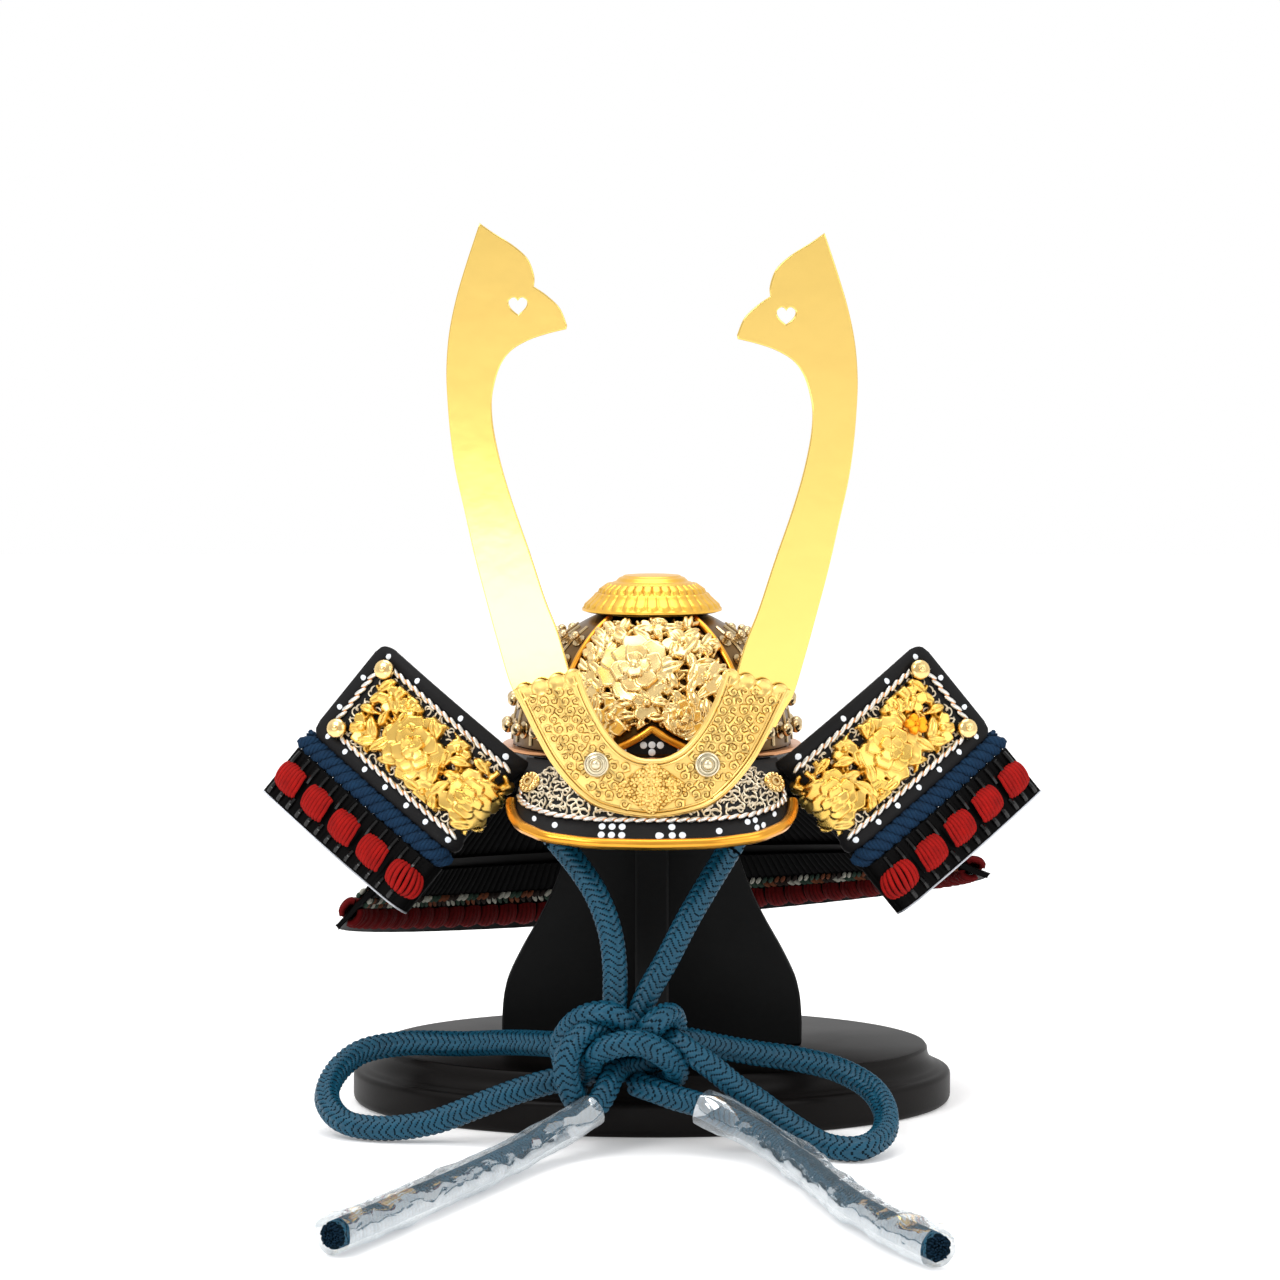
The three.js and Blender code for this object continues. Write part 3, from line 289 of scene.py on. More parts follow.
def material(name, color, dark=None, rough=0.4, metallic=0.0, patch=16.7, grain=1.11, bump=0.0,
             shade_gap=0.0, shade_level=0.5, rough_span=0.08, specular=0.5):
    """Procedural finish. In mm: patch is the size of its changes of tone, grain and bump the width
    and depth of its grain, and shade_gap the width of the gaps whose colour is darkened as painted shade;
    shade_level is the share of the dark tone that this painted shade keeps."""
    made = bpy.data.materials.new(name)
    made.use_nodes = True
    tree = made.node_tree
    tree.nodes.clear()
    place = add(tree, "ShaderNodeTexCoord").outputs["Object"]
    broad = add(tree, "ShaderNodeTexNoise", {"Vector": place, "Scale": 1 / (patch * MM), "Detail": 4.0})
    fine = add(tree, "ShaderNodeTexNoise", {"Vector": place, "Scale": 1 / (grain * MM), "Detail": 3.0})
    pale, deep = linear(color), linear(dark or color)
    tone = add(tree, "ShaderNodeMixRGB", {0: broad.outputs["Fac"], 1: deep, 2: pale}).outputs[0]
    # Painted shade: ambient occlusion darkens the colour in narrow gaps and hollows
    if shade_gap:
        near = add(tree, "ShaderNodeAmbientOcclusion", {"Distance": shade_gap * MM}, samples=6)
        depth = add(tree, "ShaderNodeMapRange", {
            "Value": near.outputs["AO"], "From Min": 0.25, "From Max": 0.9,
        })
        painted_shade_tone = [c * shade_level for c in deep[:3]] + [1.0]
        tone = add(tree, "ShaderNodeMixRGB", {0: depth.outputs["Result"], 1: painted_shade_tone, 2: tone}).outputs[0]
    surface = add(tree, "ShaderNodeBsdfPrincipled", {"Base Color": tone, "Metallic": metallic})
    span = add(tree, "ShaderNodeMapRange", {
        "Value": broad.outputs["Fac"],
        "To Min": max(rough - rough_span, 0.03),
        "To Max": rough + rough_span,
    })
    tree.links.new(span.outputs["Result"], surface.inputs["Roughness"])
    surface.inputs["Specular IOR Level"].default_value = specular
    if bump:
        rise = add(tree, "ShaderNodeBump", {
            "Height": fine.outputs["Fac"], "Strength": 1.0, "Distance": bump * MM,
        })
        tree.links.new(rise.outputs["Normal"], surface.inputs["Normal"])
    add(tree, "ShaderNodeOutputMaterial", {"Surface": surface.outputs[0]})
    return made


# What several finishes share. Yarn's fibres are far finer, and are drawn this coarse so that they show
# Both carry painted shade: their colour darkens in narrow gaps and hollows
CASTING = {"metallic": 1, "patch": 7.14, "bump": 0.02, "shade_gap": 1.6}
YARN = {"patch": 3.33, "grain": 0.385, "bump": 0.14, "shade_level": 0.3}

# Pale gold plate on the horn blades: rolled and polished, so it takes broad soft reflections
BLADE = material("pale_gold_plate", "f5d37b", "efc968", rough=0.16, rough_span=0.04, metallic=1, patch=71.4,
                 grain=16.7, bump=0.1)
# Gold-plated casting of the front openwork: pale and bright, with painted shade in its hollows
CAST = material("cast_gold", "fbe2a6", "eec274", rough=0.22, shade_level=0.35, **CASTING)
# Gold-plated casting on the side plates: deeper yellow, a little duller, with painted shade in its hollows
WARM = material("cast_deep_gold", "f8d27a", "edbb50", rough=0.28, shade_level=0.4, **CASTING)
# Orange-gold plating of one small cast flower, with painted shade in its gaps
AMBER = material("orange_gold", "f5a92c", "e5921a", rough=0.35, metallic=1, patch=7.14, bump=0.02,
                 shade_gap=1.0)
# Gold-plated crest base, pressed and engraved: satin, with painted shade as dark lines round its scrolls
ENGRAVED = material("engraved_gold", "f6d689", "ebc066", rough=0.34, metallic=1, patch=12.5, bump=0.02,
                    shade_gap=1.0, shade_level=0.45)
# Drawn and plated rims: deep gold with narrow highlights, and painted shade in their groove
RICH = material("rich_gold", "eeab40", "de9630", rough=0.28, metallic=1, patch=16.7, bump=0.01, shade_gap=1.0)
# Spun and plated finial: satin orange gold, with painted shade in the grooves between its petals
SATIN = material("satin_gold", "f6c658", "ecb242", rough=0.34, metallic=1, patch=16.7, bump=0.01, shade_gap=1.4,
                 shade_level=0.4)
# Turned studs, plated a silvery gold, with painted shade in their steps
PEWTER = material("silvery_studs", "e9dfc4", "cdbf9c", rough=0.3, metallic=1, patch=6.25, bump=0.01,
                  shade_gap=0.9)
# Cast bronze ball rivets: pale, with bright tops and painted shade where they meet the washers
BRONZE = material("pale_bronze", "e2cda4", "b99a68", rough=0.26, metallic=1, patch=6.25, bump=0.01,
                  shade_gap=1.5)
# Patinated bronze sheet of the bowl: brown, with painted shade round the rivets
BOWL_SKIN = material("bronze_skin", "8f6c3a", "4a351d", rough=0.36, metallic=1, patch=11.1, bump=0.03,
                     shade_gap=4.0, shade_level=0.35)
# Red yarn of the lowest lacing, darkened with painted shade for the shade it lies in
RED_PAINTED_SHADE = material("red_yarn_painted_shade", "6a0d0e", "400708", rough=0.85, shade_gap=0.9, specular=0.1, **YARN)
# Polished copper edge of the brim
COPPER = material("copper_edge", "e3a878", "cf9060", rough=0.3, metallic=1, patch=11.1, bump=0.01)
# Black gloss lacquer: sharp reflections
LACQUER = material("black_lacquer", "0b0a0a", "070707", rough=0.14, patch=20, bump=0.01, rough_span=0.04,
                   specular=0.4)
# Satin black of the neck guard's lames
LAME = material("satin_black_lames", "070606", "040404", rough=0.55, patch=20, bump=0.01, specular=0.06)
# Black leather, grained and dull
LEATHER = material("black_leather", "0e0d0f", "09090a", rough=0.62, patch=8.33, grain=0.556, bump=0.06,
                   specular=0.2)
# White print on the leather: matte and even
PRINT = material("white_print", "eef3f8", "d5dee8", rough=0.5, patch=2.5)
# Twisted silver wire: many small glints, and painted shade between its grains
SILVER = material("silver_wire", "f2f1ec", "c9c6bf", rough=0.3, metallic=0.8, patch=3.33, bump=0.01,
                  shade_gap=0.6)
# Beige-silver thread of the scrolls
THREAD = material("silver_thread", "efe6d2", "c9b795", rough=0.4, metallic=0.5, patch=3.33, bump=0.01)
# Red yarn, with painted shade between its strands
RED = material("red_yarn", "b0150f", "720b0a", rough=0.85, shade_gap=0.9, specular=0.15, **YARN)
# Navy rope yarn, with painted shade between its strands
NAVY = material("navy_yarn", "143552", "0b2138", rough=0.8, shade_gap=1.2, specular=0.15, **YARN)
# Flat black silk lacing: nearly no shine. Its threads are drawn coarser than they are
LACE = material("black_lacing", "060607", "030303", rough=0.75, patch=5, grain=0.385, bump=0.08,
                specular=0.05)
# Teal braided silk cord: a soft shine on each stitch, and painted shade between them. Its threads are drawn
# coarser than they are
TEAL = material("teal_braid", "08506a", "063a4f", rough=0.42, patch=3.85, grain=0.333, bump=0.08, shade_gap=1.1,
                shade_level=0.25, specular=0.3)
# Painted shade between the braid's stitches: a dark teal on the faces in the grooves
TEAL_PAINTED_SHADE = material("teal_braid_painted_shade", "031a26", "02121a", rough=0.8, patch=3.85, specular=0.1)
# Cut thread ends of the cord
CUT = material("cut_thread", "0e2c42", "061823", rough=0.9, patch=2, grain=0.286, bump=0.4, specular=0.1)
# Yarns of the coloured braid: muted colours, darkened further with painted shade
BRAID = [
    material(f"braid_{name}", color, dark, rough=0.8, patch=2.5, grain=0.385, bump=0.1, specular=0.2)
    for name, color, dark in (
        ("white", "b9b8ac", "8f8e82"), ("green", "33493c", "223329"),
        ("orange", "7a4428", "552d1a"), ("brown", "2c211b", "1c1511"),
    )
]
# Matte black paint on the boards
BOARD = material("matte_black_board", "090a0b", "060707", rough=0.65, patch=14.3, grain=0.67, bump=0.03,
                 specular=0.2)
# Satin black-brown lacquer on the base
BASE = material("satin_black_base", "120f0e", "0d0b0a", rough=0.42, patch=33.3, grain=0.91, bump=0.02,
                specular=0.1)
# Pale bound edge of the plates' lames
PALE_EDGE = material("pale_edge", "c9ccd2", "9da0a6", rough=0.4, metallic=0.7, patch=5)


FACET = 10.53  # size of the film's facets in millimetres
MILK = 0.07  # share of haze in the film


def film_material():
    """Thin clear crumpled film."""
    made = bpy.data.materials.new("clear_film")
    made.use_nodes = True
    tree = made.node_tree
    tree.nodes.clear()
    place = add(tree, "ShaderNodeTexCoord").outputs["Object"]
    along = add(tree, "ShaderNodeMapping", {"Vector": place, "Scale": (1, 0.45, 1)}).outputs["Vector"]
    cells = {"Vector": along, "Scale": 1 / (FACET * MM)}
    fold = add(tree, "ShaderNodeTexVoronoi", cells, feature="DISTANCE_TO_EDGE").outputs["Distance"]
    facet = add(tree, "ShaderNodeTexVoronoi", cells).outputs["Color"]
    bump = add(tree, "ShaderNodeBump", {"Height": fold, "Strength": 0.7, "Distance": 1.2 * MM})
    rise = bump.outputs["Normal"]
    gloss = add(tree, "ShaderNodeBsdfGlossy", {
        "Color": (0.95, 0.98, 1, 1), "Roughness": 0.08, "Normal": rise,
    })
    haze = add(tree, "ShaderNodeBsdfDiffuse", {"Color": linear("dbe6ec"), "Normal": rise})
    clear = add(tree, "ShaderNodeBsdfTransparent", {"Color": (0.97, 0.985, 0.99, 1)})
    # Some facets of the crumpled film catch the light, others stay clear
    lot = add(tree, "ShaderNodeSeparateXYZ", {0: facet}).outputs["X"]
    caught = add(tree, "ShaderNodeMapRange", {
        "Value": lot, "From Min": 0.45, "From Max": 1.0, "To Min": 0.04, "To Max": 0.5,
    })
    facing = add(tree, "ShaderNodeLayerWeight", {"Blend": 0.3, "Normal": rise}).outputs["Facing"]
    sheen = add(tree, "ShaderNodeMath", {0: caught.outputs["Result"], 1: facing}, operation="MAXIMUM")
    held = add(tree, "ShaderNodeMath", {0: sheen.outputs[0], 1: 0.55}, operation="MINIMUM")
    glint = add(tree, "ShaderNodeMixShader", {0: held.outputs[0], 1: clear.outputs[0], 2: gloss.outputs[0]})
    milky = add(tree, "ShaderNodeMixShader", {0: MILK, 1: glint.outputs[0], 2: haze.outputs[0]})
    add(tree, "ShaderNodeOutputMaterial", {"Surface": milky.outputs[0]})
    return made


FILM = film_material()


# Camera: near the height of the blades' tips, looking a little down
scene = bpy.context.scene
view = bpy.data.cameras.new("view")
view.sensor_width = 36
view.lens = 120.94
camera = bpy.data.objects.new("view", view)
camera.location = (0, -1.392, 0.2606)
LOOK_DOWN, LOOK_ROUND = 4.52, 0.16
camera.rotation_euler = ((90 - LOOK_DOWN) * DEG, 0, LOOK_ROUND * DEG)
scene.collection.objects.link(camera)
scene.camera = camera


# Chin cord: the solids' routes again, from inside the helmet to each end
NECK = [
    [-29.7, -59.9, 92.7], [-31.4, -57.6, 95], [-32.8, -53, 96.8], [-33, -45, 97.5], [-33.5, -32, 97],
    [-34, -16, 96], [-33.5, -4, 95.5], [-29, 10, 95.5], [-20, 20, 95.5], [-8, 23.4, 95.5],
    [6, 23.4, 95.5], [19, 20.5, 95.5], [29, 10, 95.5], [33.5, -3, 95.5], [34, -16, 96],
    [32.5, -32, 96.8], [29.5, -46, 96.5], [27.5, -54, 95], [25.6, -58.6, 92.4], [24.2, -59.9, 89.8],
]
LEFT = [
    [-29.5, -60, 92.5], [-23, -64, 85], [-17, -67, 76], [-13, -70, 65.5], [-11.5, -73, 55],
    [-11.5, -76, 44], [-12, -77, 37], [-16, -75, 31.5], [-24, -72, 30], [-32, -66, 29.5],
    [-45, -52, 27.5], [-60, -40, 25], [-80, -33, 23.8], [-93, -36, 21.5], [-100.5, -45, 16],
    [-102, -57, 10], [-96, -67.5, 5.3], [-84, -73, 4.2], [-68, -75, 6.5], [-54, -77, 12],
    [-40, -79, 17.5], [-30, -80, 20.5], [-24, -80.5, 21.5], [-19.5, -84, 24], [-18, -90, 30],
    [-12, -93, 33.5], [-4, -93, 34.5], [3, -91, 31], [7.5, -86, 25.5], [5, -80, 20], [-1, -78, 18],
    [-4, -82, 19.5], [1, -86, 18.5], [7.5, -88, 16.5], [14, -90, 15], [22, -95, 12], [30, -102, 9.3],
    [37, -115, 7], [44, -137, 6.3], [50, -166, 6.3], [57, -196, 6.3], [66, -224, 6.3], [77, -251, 6.3],
]
RIGHT = [
    [24, -60, 89.5], [18, -63, 80], [11, -67, 68.5], [4.5, -71, 56.5], [-2, -75, 45.3], [-4, -76, 38],
    [0, -76, 33.5], [6, -74, 32.5], [12, -71, 31.5], [21, -65, 28.5], [33, -60, 25.5], [45, -59, 23.6],
    [58, -63, 21], [68, -71, 16.5], [72, -83, 11], [70, -96, 6.3], [62.5, -104.5, 4.2],
    [53, -101.5, 4.6], [43, -94.5, 9], [32, -87.5, 16], [25, -87, 20.5], [19, -87, 25.5],
    [12, -86, 30.3], [7.5, -84, 33], [2, -79, 33], [-4, -79, 32], [-8, -82, 35], [-8.5, -86, 39],
    [-12.5, -88, 42.5], [-19, -87, 42], [-25, -83, 37.5], [-27.5, -81, 31], [-26, -81, 24],
    [-24, -82, 18], [-22.5, -86.5, 14.5], [-24.5, -91, 18.5], [-26.3, -93, 26], [-25, -92.5, 32.5],
    [-21, -90, 36.8], [-15.5, -85, 37], [-10, -79, 33], [-4, -81, 32], [-2.5, -86, 35.5],
    [1.5, -87, 40], [5, -83, 41.5], [7, -78, 38], [4, -75, 31], [-2, -76, 25], [-9, -79, 24],
    [-12, -84, 23.5], [-14, -89, 19.5], [-17, -92, 15], [-22, -97, 12], [-30, -106, 9.3],
    [-38, -121, 7], [-47, -142, 6.3], [-57, -167, 6.3], [-67, -190, 6.3], [-77, -214, 6.3],
    [-87, -236, 6.3],
]
CORD_STEP = 0.5
BRAID_PITCH = 2.15
CHEVRONS = 3
# Faces whose stitches stand lower than this share are in the grooves, and get painted shade
GROOVE_SHADE = 0.63
GOLDEN_TURN = 2.39996


def braided(path, sides):
    """Round cord whose surface is braided in chevrons, with painted shade on the faces in its grooves."""
    at = distances(path)
    turn = np.arange(sides) / sides * CHEVRONS
    slant = np.abs((turn % 1.0) * 2 - 1)
    column = np.abs(np.sin(math.pi * turn * 2))
    phase = at[:, None] / BRAID_PITCH + 1.3 * slant[None, :]
    stitch = np.abs(np.sin(math.pi * phase)) ** 0.55
    radius = CORD_D / 2 - 0.8 + 0.75 * stitch * (0.4 + 0.6 * column[None, :] ** 0.5) + 0.15 * column[None, :]
    v, f = tube(path, radius, sides)
    # Groove faces and the caps get the dark teal of painted shade
    beside = np.roll(stitch, -1, 1)
    shade = (stitch[:-1] + stitch[1:] + beside[:-1] + beside[1:]) / 4 < GROOVE_SHADE
    finish = shade.ravel().astype(int).tolist()
    return v, f, finish + [1] * (len(f) - len(finish))


def lay_cord(name, route, nodes, sides=42):
    """Braided cord along a route."""
    path = spline(route, per_mm=CORD_STEP)
    v, f, finish = braided(path, sides)
    bag = Bag()
    bag.add((v, f), finish)
    piece = bag.make(name, [TEAL, TEAL_PAINTED_SHADE], "teal_cord", nodes, angle=75)
    length_of(path) * MM


# Points round the film's tube, and along and across its flap
FILM_SIDES = 44
FLAP_LONG, FLAP_WIDE = 14, 12


def sleeve(name, path, node, side):
    """Crumpled film wrapped round a tail, with a loose flap at its end."""
    sides = FILM_SIDES
    n = len(path)
    at = np.linspace(0, 1, n)
    angle = np.arange(sides) / sides * 2 * math.pi
    rough = np.zeros((n, sides))
    for _ in range(7):
        waves, along = rng.integers(1, 4), rng.uniform(-9, 9)
        fold = np.abs(np.sin(waves * angle[None] / 2 + along * math.pi * at[:, None] + rng.uniform(0, 6.3)))
        rough += (1 - fold) ** 2 * rng.uniform(0.2, 0.5)
    flat = 1.25 * np.abs(np.sin(angle + 0.6)) ** 6 * (0.5 + 0.5 * np.sin(at[:, None] * 21 + side))
    radius = CORD_D / 2 + 0.8 + rough * 0.9 + flat * 0.6
    bag = Bag()
    v, f = tube(path, radius, sides, capped=False)
    v[:, 2] = np.maximum(v[:, 2], 0.35)
    bag.add((v, f))
    ahead = frames(path)[0][-1]
    out = unit(np.cross(ahead, arr(0, 0, 1))) * -side
    s, w = np.meshgrid(np.linspace(0, 1, FLAP_LONG), np.linspace(0, 1, FLAP_WIDE), indexing="ij")
    flap = (
        path[-1]
        - ahead * (2 + 17 * s[..., None])
        + out * (4.2 + 8.5 * w[..., None] * (1 - 0.35 * s[..., None]))
        + arr(0, 0, 1) * (1.6 * np.sin(6 * w + 4 * s) * w + 2.5 - 6 * w * (1 - w))[..., None]
    )
    flap[..., 2] = np.maximum(flap[..., 2], 0.5)
    bag.add((flap.reshape(-1, 3), grid_faces(FLAP_LONG, FLAP_WIDE).tolist()))
    return bag.make(name, [FILM], "clear_film", [node], angle=30)


def tail_end(name, path):
    """Cut strands at a tail's end."""
    bag = Bag()
    t, nor, bin_ = frames(path)
    threads = 60
    for k in range(threads):
        r = 3.3 * math.sqrt((k + 0.5) / threads)
        a = k * GOLDEN_TURN
        start = path[-1] + nor[-1] * r * math.cos(a) + bin_[-1] * r * math.sin(a)
        tip = start + t[-1] * (0.7 + 0.8 * rng.random()) + rng.normal(0, 0.12, 3)
        bag.add(tube(np.stack([start - t[-1], start, tip]), 0.32, 5))
    return bag.make(name, [CUT], "teal_cord")


# How much of each tail is in film, and the step it is drawn at
FILM_RIGHT, FILM_LEFT, FILM_STEP = 177.0, 161.0, 0.75
left_fine = spline(LEFT, per_mm=FILM_STEP)
right_fine = spline(RIGHT, per_mm=FILM_STEP)
film_right = sleeve("film_right", left_fine[-int(FILM_RIGHT / FILM_STEP):], "film_sleeve_right", 1)
film_left = sleeve("film_left", right_fine[-int(FILM_LEFT / FILM_STEP):], "film_sleeve_left", -1)
end_right = tail_end("cord_end_right", left_fine)
end_left = tail_end("cord_end_left", right_fine)
lay_cord("chin_cord_left", LEFT, ["cord_drop_left", "cord_loop_left", "cord_knot", "cord_tail_right"])
lay_cord("chin_cord_right", RIGHT, ["cord_drop_right", "cord_loop_right", "cord_tail_left"])
lay_cord("chin_cord_neck", NECK, ["cord_neck"], sides=24)


# Stand: moulded oval base and two crossed boards
def stand_base():
    """Oval base: rounded foot, step, hollow moulding and flat top."""
    top = BASE_HALF[0] - 8.5
    foot, quarter = 95, math.pi / 2
    profile = [(0, 0), (foot, 0)]
    for a in np.linspace(0.2, quarter, 6):
        profile.append((foot + 2.5 * math.sin(a), 2.5 - 2.5 * math.cos(a)))
    for a in np.linspace(0, quarter, 6):
        profile.append((BASE_HALF[0] - 2 * (1 - math.cos(a)), BASE_WALL - 2 + 2 * math.sin(a)))
    profile.append((94.6, BASE_WALL + 0.4))
    for a in np.linspace(0.1, 1.45, 8):
        profile.append((94.4 - 4.4 * math.sin(a), BASE_WALL + 0.9 + 5.2 * (1 - math.cos(a)) ** 0.9))
    profile += [(top + 0.9, BASE_TOP - 1.2), (top + 0.2, BASE_TOP - 0.3)]
    profile += [(top - 0.8, BASE_TOP), (0, BASE_TOP)]
    ratio = BASE_HALF[1] / BASE_HALF[0]
    one("base", turned(profile, 160, squash=(1, ratio)), BASE, "base_lacquer", ["stand_base"], angle=30)


# Shares up the board and of its half width
BOARD_OUTLINE = [
    (0.0, 1.0), (0.1, 1.0), (0.2, 0.975), (0.3, 0.885), (0.41, 0.76), (0.49, 0.68), (0.61, 0.59), (0.8, 0.5),
    (0.95, 0.46),
]
BOARD_DOME = 41.4


def stand_board(name, slot_above, turn, node):
    """One of the two slotted boards, whose round top reaches into the bowl."""
    low, top = BASE_TOP + GAP, BRIM_Z + BOWL_TOP - 3.5
    dome = BOARD_DOME
    side = spline([(BOARD_HALF * w, lerp(low, BRIM_Z, h), 0) for h, w in BOARD_OUTLINE], count=40)[:, :2]
    a0 = math.acos(side[-1, 0] / dome)
    a1 = math.asin((top - BRIM_Z) / dome)
    arc = [(dome * math.cos(a), BRIM_Z + dome * math.sin(a)) for a in np.linspace(a0, a1, 10)]
    side = np.vstack([side, arc])
    half = BOARD_THICK / 2 + GAP
    middle = (low + top) / 2
    if slot_above:
        centre = [(half, top), (half, middle - GAP / 2), (0, middle - GAP / 2)]
        right = np.vstack([[(0, low)], side, centre])
    else:
        centre = [(0, middle + GAP / 2), (half, middle + GAP / 2), (half, low)]
        right = np.vstack([side, [(0, top)], centre])
    # Both faces as flat polygons with a wall round them
    loop = np.vstack([right, (right * arr(-1, 1))[::-1]])
    keep = [0] + [i for i in range(1, len(loop)) if np.linalg.norm(loop[i] - loop[i - 1]) > 1e-6]
    loop = loop[keep]
    if np.linalg.norm(loop[0] - loop[-1]) < 1e-6:
        loop = loop[:-1]
    n = len(loop)
    y = BOARD_THICK / 2
    front = np.stack([loop[:, 0], np.full(n, -y), loop[:, 1]], axis=1)
    back = np.stack([loop[:, 0], np.full(n, y), loop[:, 1]], axis=1)
    v = np.vstack([front, back])
    faces = [list(range(n)), list(range(2 * n - 1, n - 1, -1))]
    faces += [[(k + 1) % n, k, k + n, (k + 1) % n + n] for k in range(n)]
    if turn:
        v = np.stack([-v[:, 1], v[:, 0], v[:, 2]], axis=1)
    one(name, (v + arr(0, HELMET_Y, 0), faces), BOARD, "board", [node], angle=25, bevel=0.7)


stand_base()
stand_board("board_front", True, False, "stand_board_front")
stand_board("board_side", False, True, "stand_board_side")


# Bowl
def bowl_point(angle, z, off):
    """Point off the bowl's sphere, by angle round from the front and by height."""
    angle, z, off = np.broadcast_arrays(angle, z, off)
    rise = (z - BRIM_Z) / BOWL_R
    reach = np.sqrt(np.maximum(1 - rise**2, 0))
    normal = np.stack([np.sin(angle) * reach, -np.cos(angle) * reach, rise], axis=-1)
    return normal * (BOWL_R + off)[..., None] + arr(0, HELMET_Y, BRIM_Z)


RIB_ANGLE = 40
BOWL_WALL = 2
RIVET_ROWS = (5.5, 13.5, 21, 28, 34)


def bowl():
    """Bowl shell with seams and rows of ball rivets on washers and shanks."""
    centre = (0, HELMET_Y, BRIM_Z)
    inside = BOWL_R - BOWL_WALL
    end_out, end_in = math.asin(BOWL_TOP / BOWL_R), math.asin(BOWL_TOP / inside)
    outer = [(BOWL_R * math.cos(a), BOWL_R * math.sin(a)) for a in np.linspace(0, end_out, 24)]
    inner = [(inside * math.cos(a), inside * math.sin(a)) for a in np.linspace(end_in, 0, 20)]
    bag = Bag()
    bag.add(turned(outer + inner + outer[:1], 128, centre), 0)
    # A column of ball rivets on each plate of the bowl, and thin raised seams between the plates
    columns = np.linspace(RIB_ANGLE + 12, 360 - RIB_ANGLE - 12, 19)
    for angle in columns:
        for rise in RIVET_ROWS:
            spot = bowl_point(angle * DEG, BRIM_Z + rise, 0.2)
            up = unit(spot - arr(*centre))
            size = 2.3 - 0.02 * rise
            bag.stand(ball(size, 14, 9, (1, 1, 0.92)), spot + up * 2.2, up, 1)
            bag.stand(turned([(0, 0), (1.1, 0), (1.0, 1.6), (0, 1.8)], 10), spot, up, 1)
            washer = turned([(0, 0), (size + 0.7, 0), (size + 0.6, 0.35), (0, 0.5)], 14)
            bag.stand(washer, spot - up * 0.1, up, 1)
    for angle in (columns[:-1] + columns[1:]) / 2:
        z = np.linspace(BRIM_Z + 1, BRIM_Z + 38, 16)
        bag.add(tube(bowl_point(angle * DEG, z, 0.15), 0.55, 6), 2)
    bag.make("bowl_riveted", [BOWL_SKIN, BRONZE, BRONZE], "bronze", ["bowl"], angle=40)


def waist_band():
    """Black band under the bowl, with a rounded copper edge above it."""
    centre = (0, HELMET_Y, BRIM_Z)
    lip = [(47.8 + 0.8 * math.cos(a), -1.0 + 0.7 * math.sin(a)) for a in np.linspace(-1.2, 1.4, 8)]
    bag = Bag()
    bag.add(turned([(43, -0.9), (47, -1.6), (47, -6), (43, -6), (43, -0.9)], 128, centre), 0)
    bag.add(turned([(45, -1.7), (46.8, -1.7)] + lip + [(45, -0.3), (45, -1.7)], 128, centre), 1)
    bag.make("waist_band_laced", [LACQUER, COPPER], "lacquer", ["waist_band"])


# Motifs, drawn in a plane: a across, b up, and a height off the ground
def spiral(a, b, size, start, turns, hand, radius, ground, steps):
    """Scroll that winds in."""
    t = np.linspace(0, 1, steps)
    angle = start + hand * turns * 2 * math.pi * t
    r = size * (1 - 0.86 * t)
    path = np.stack([a + r * np.cos(angle), b + r * np.sin(angle), np.full(steps, ground)], axis=1)
    return tube(path, radius * np.linspace(1.0, 0.8, steps), 5)


# Cast openwork as a height field. Each motif gives the way in from its edge and its height, in mm
def lobe(a, b, heading, length, width, lift, rise, pointed=False):
    """Petal, or a pointed leaf with a groove along it, from its root."""

    def field(x, y):
        c, s = math.cos(heading), math.sin(heading)
        along = ((x - a) * c + (y - b) * s) / length
        across = (y - b) * c - (x - a) * s + 0.1 * width * np.sin(3 * along)
        share = np.clip(along, 0, 1)
        if pointed:
            half = width / 2 * np.sin(math.pi * share**0.8) ** 0.8
            body = 0.55 + 0.45 * np.sin(math.pi * share) - 0.32 * np.exp(-((across / 0.34) ** 2))
        else:
            half = width / 2 * np.sin(math.pi * (0.12 + 0.74 * share)) ** 0.7
            lean = np.clip(across / np.maximum(half, 0.1), -1, 1)
            body = 0.3 + 0.7 * share**1.3 - 0.22 * (1 - lean**2) * share
        return np.minimum(half - np.abs(across), np.minimum(along, 1 - along) * length), lift + rise * body

    return field


def rod(points, radius, lift):
    """Round stem through the points."""
    path = spline([(p[0], p[1], 0) for p in points], per_mm=0.6)[:, :2]

    def field(x, y):
        near = np.full(x.shape, 1e3)
        for a, b in path:
            near = np.minimum(near, np.hypot(x - a, y - b))
        return radius - near, lift + np.sqrt(np.maximum(radius**2 - near**2, 0)) * 1.2

    return field


def dome(a, b, radius, lift, rise):
    """Round bead."""

    def field(x, y):
        near = np.hypot(x - a, y - b)
        return radius - near, lift + rise * np.sqrt(np.maximum(1 - (near / radius) ** 2, 0))

    return field


FULL_FLOWER = 7


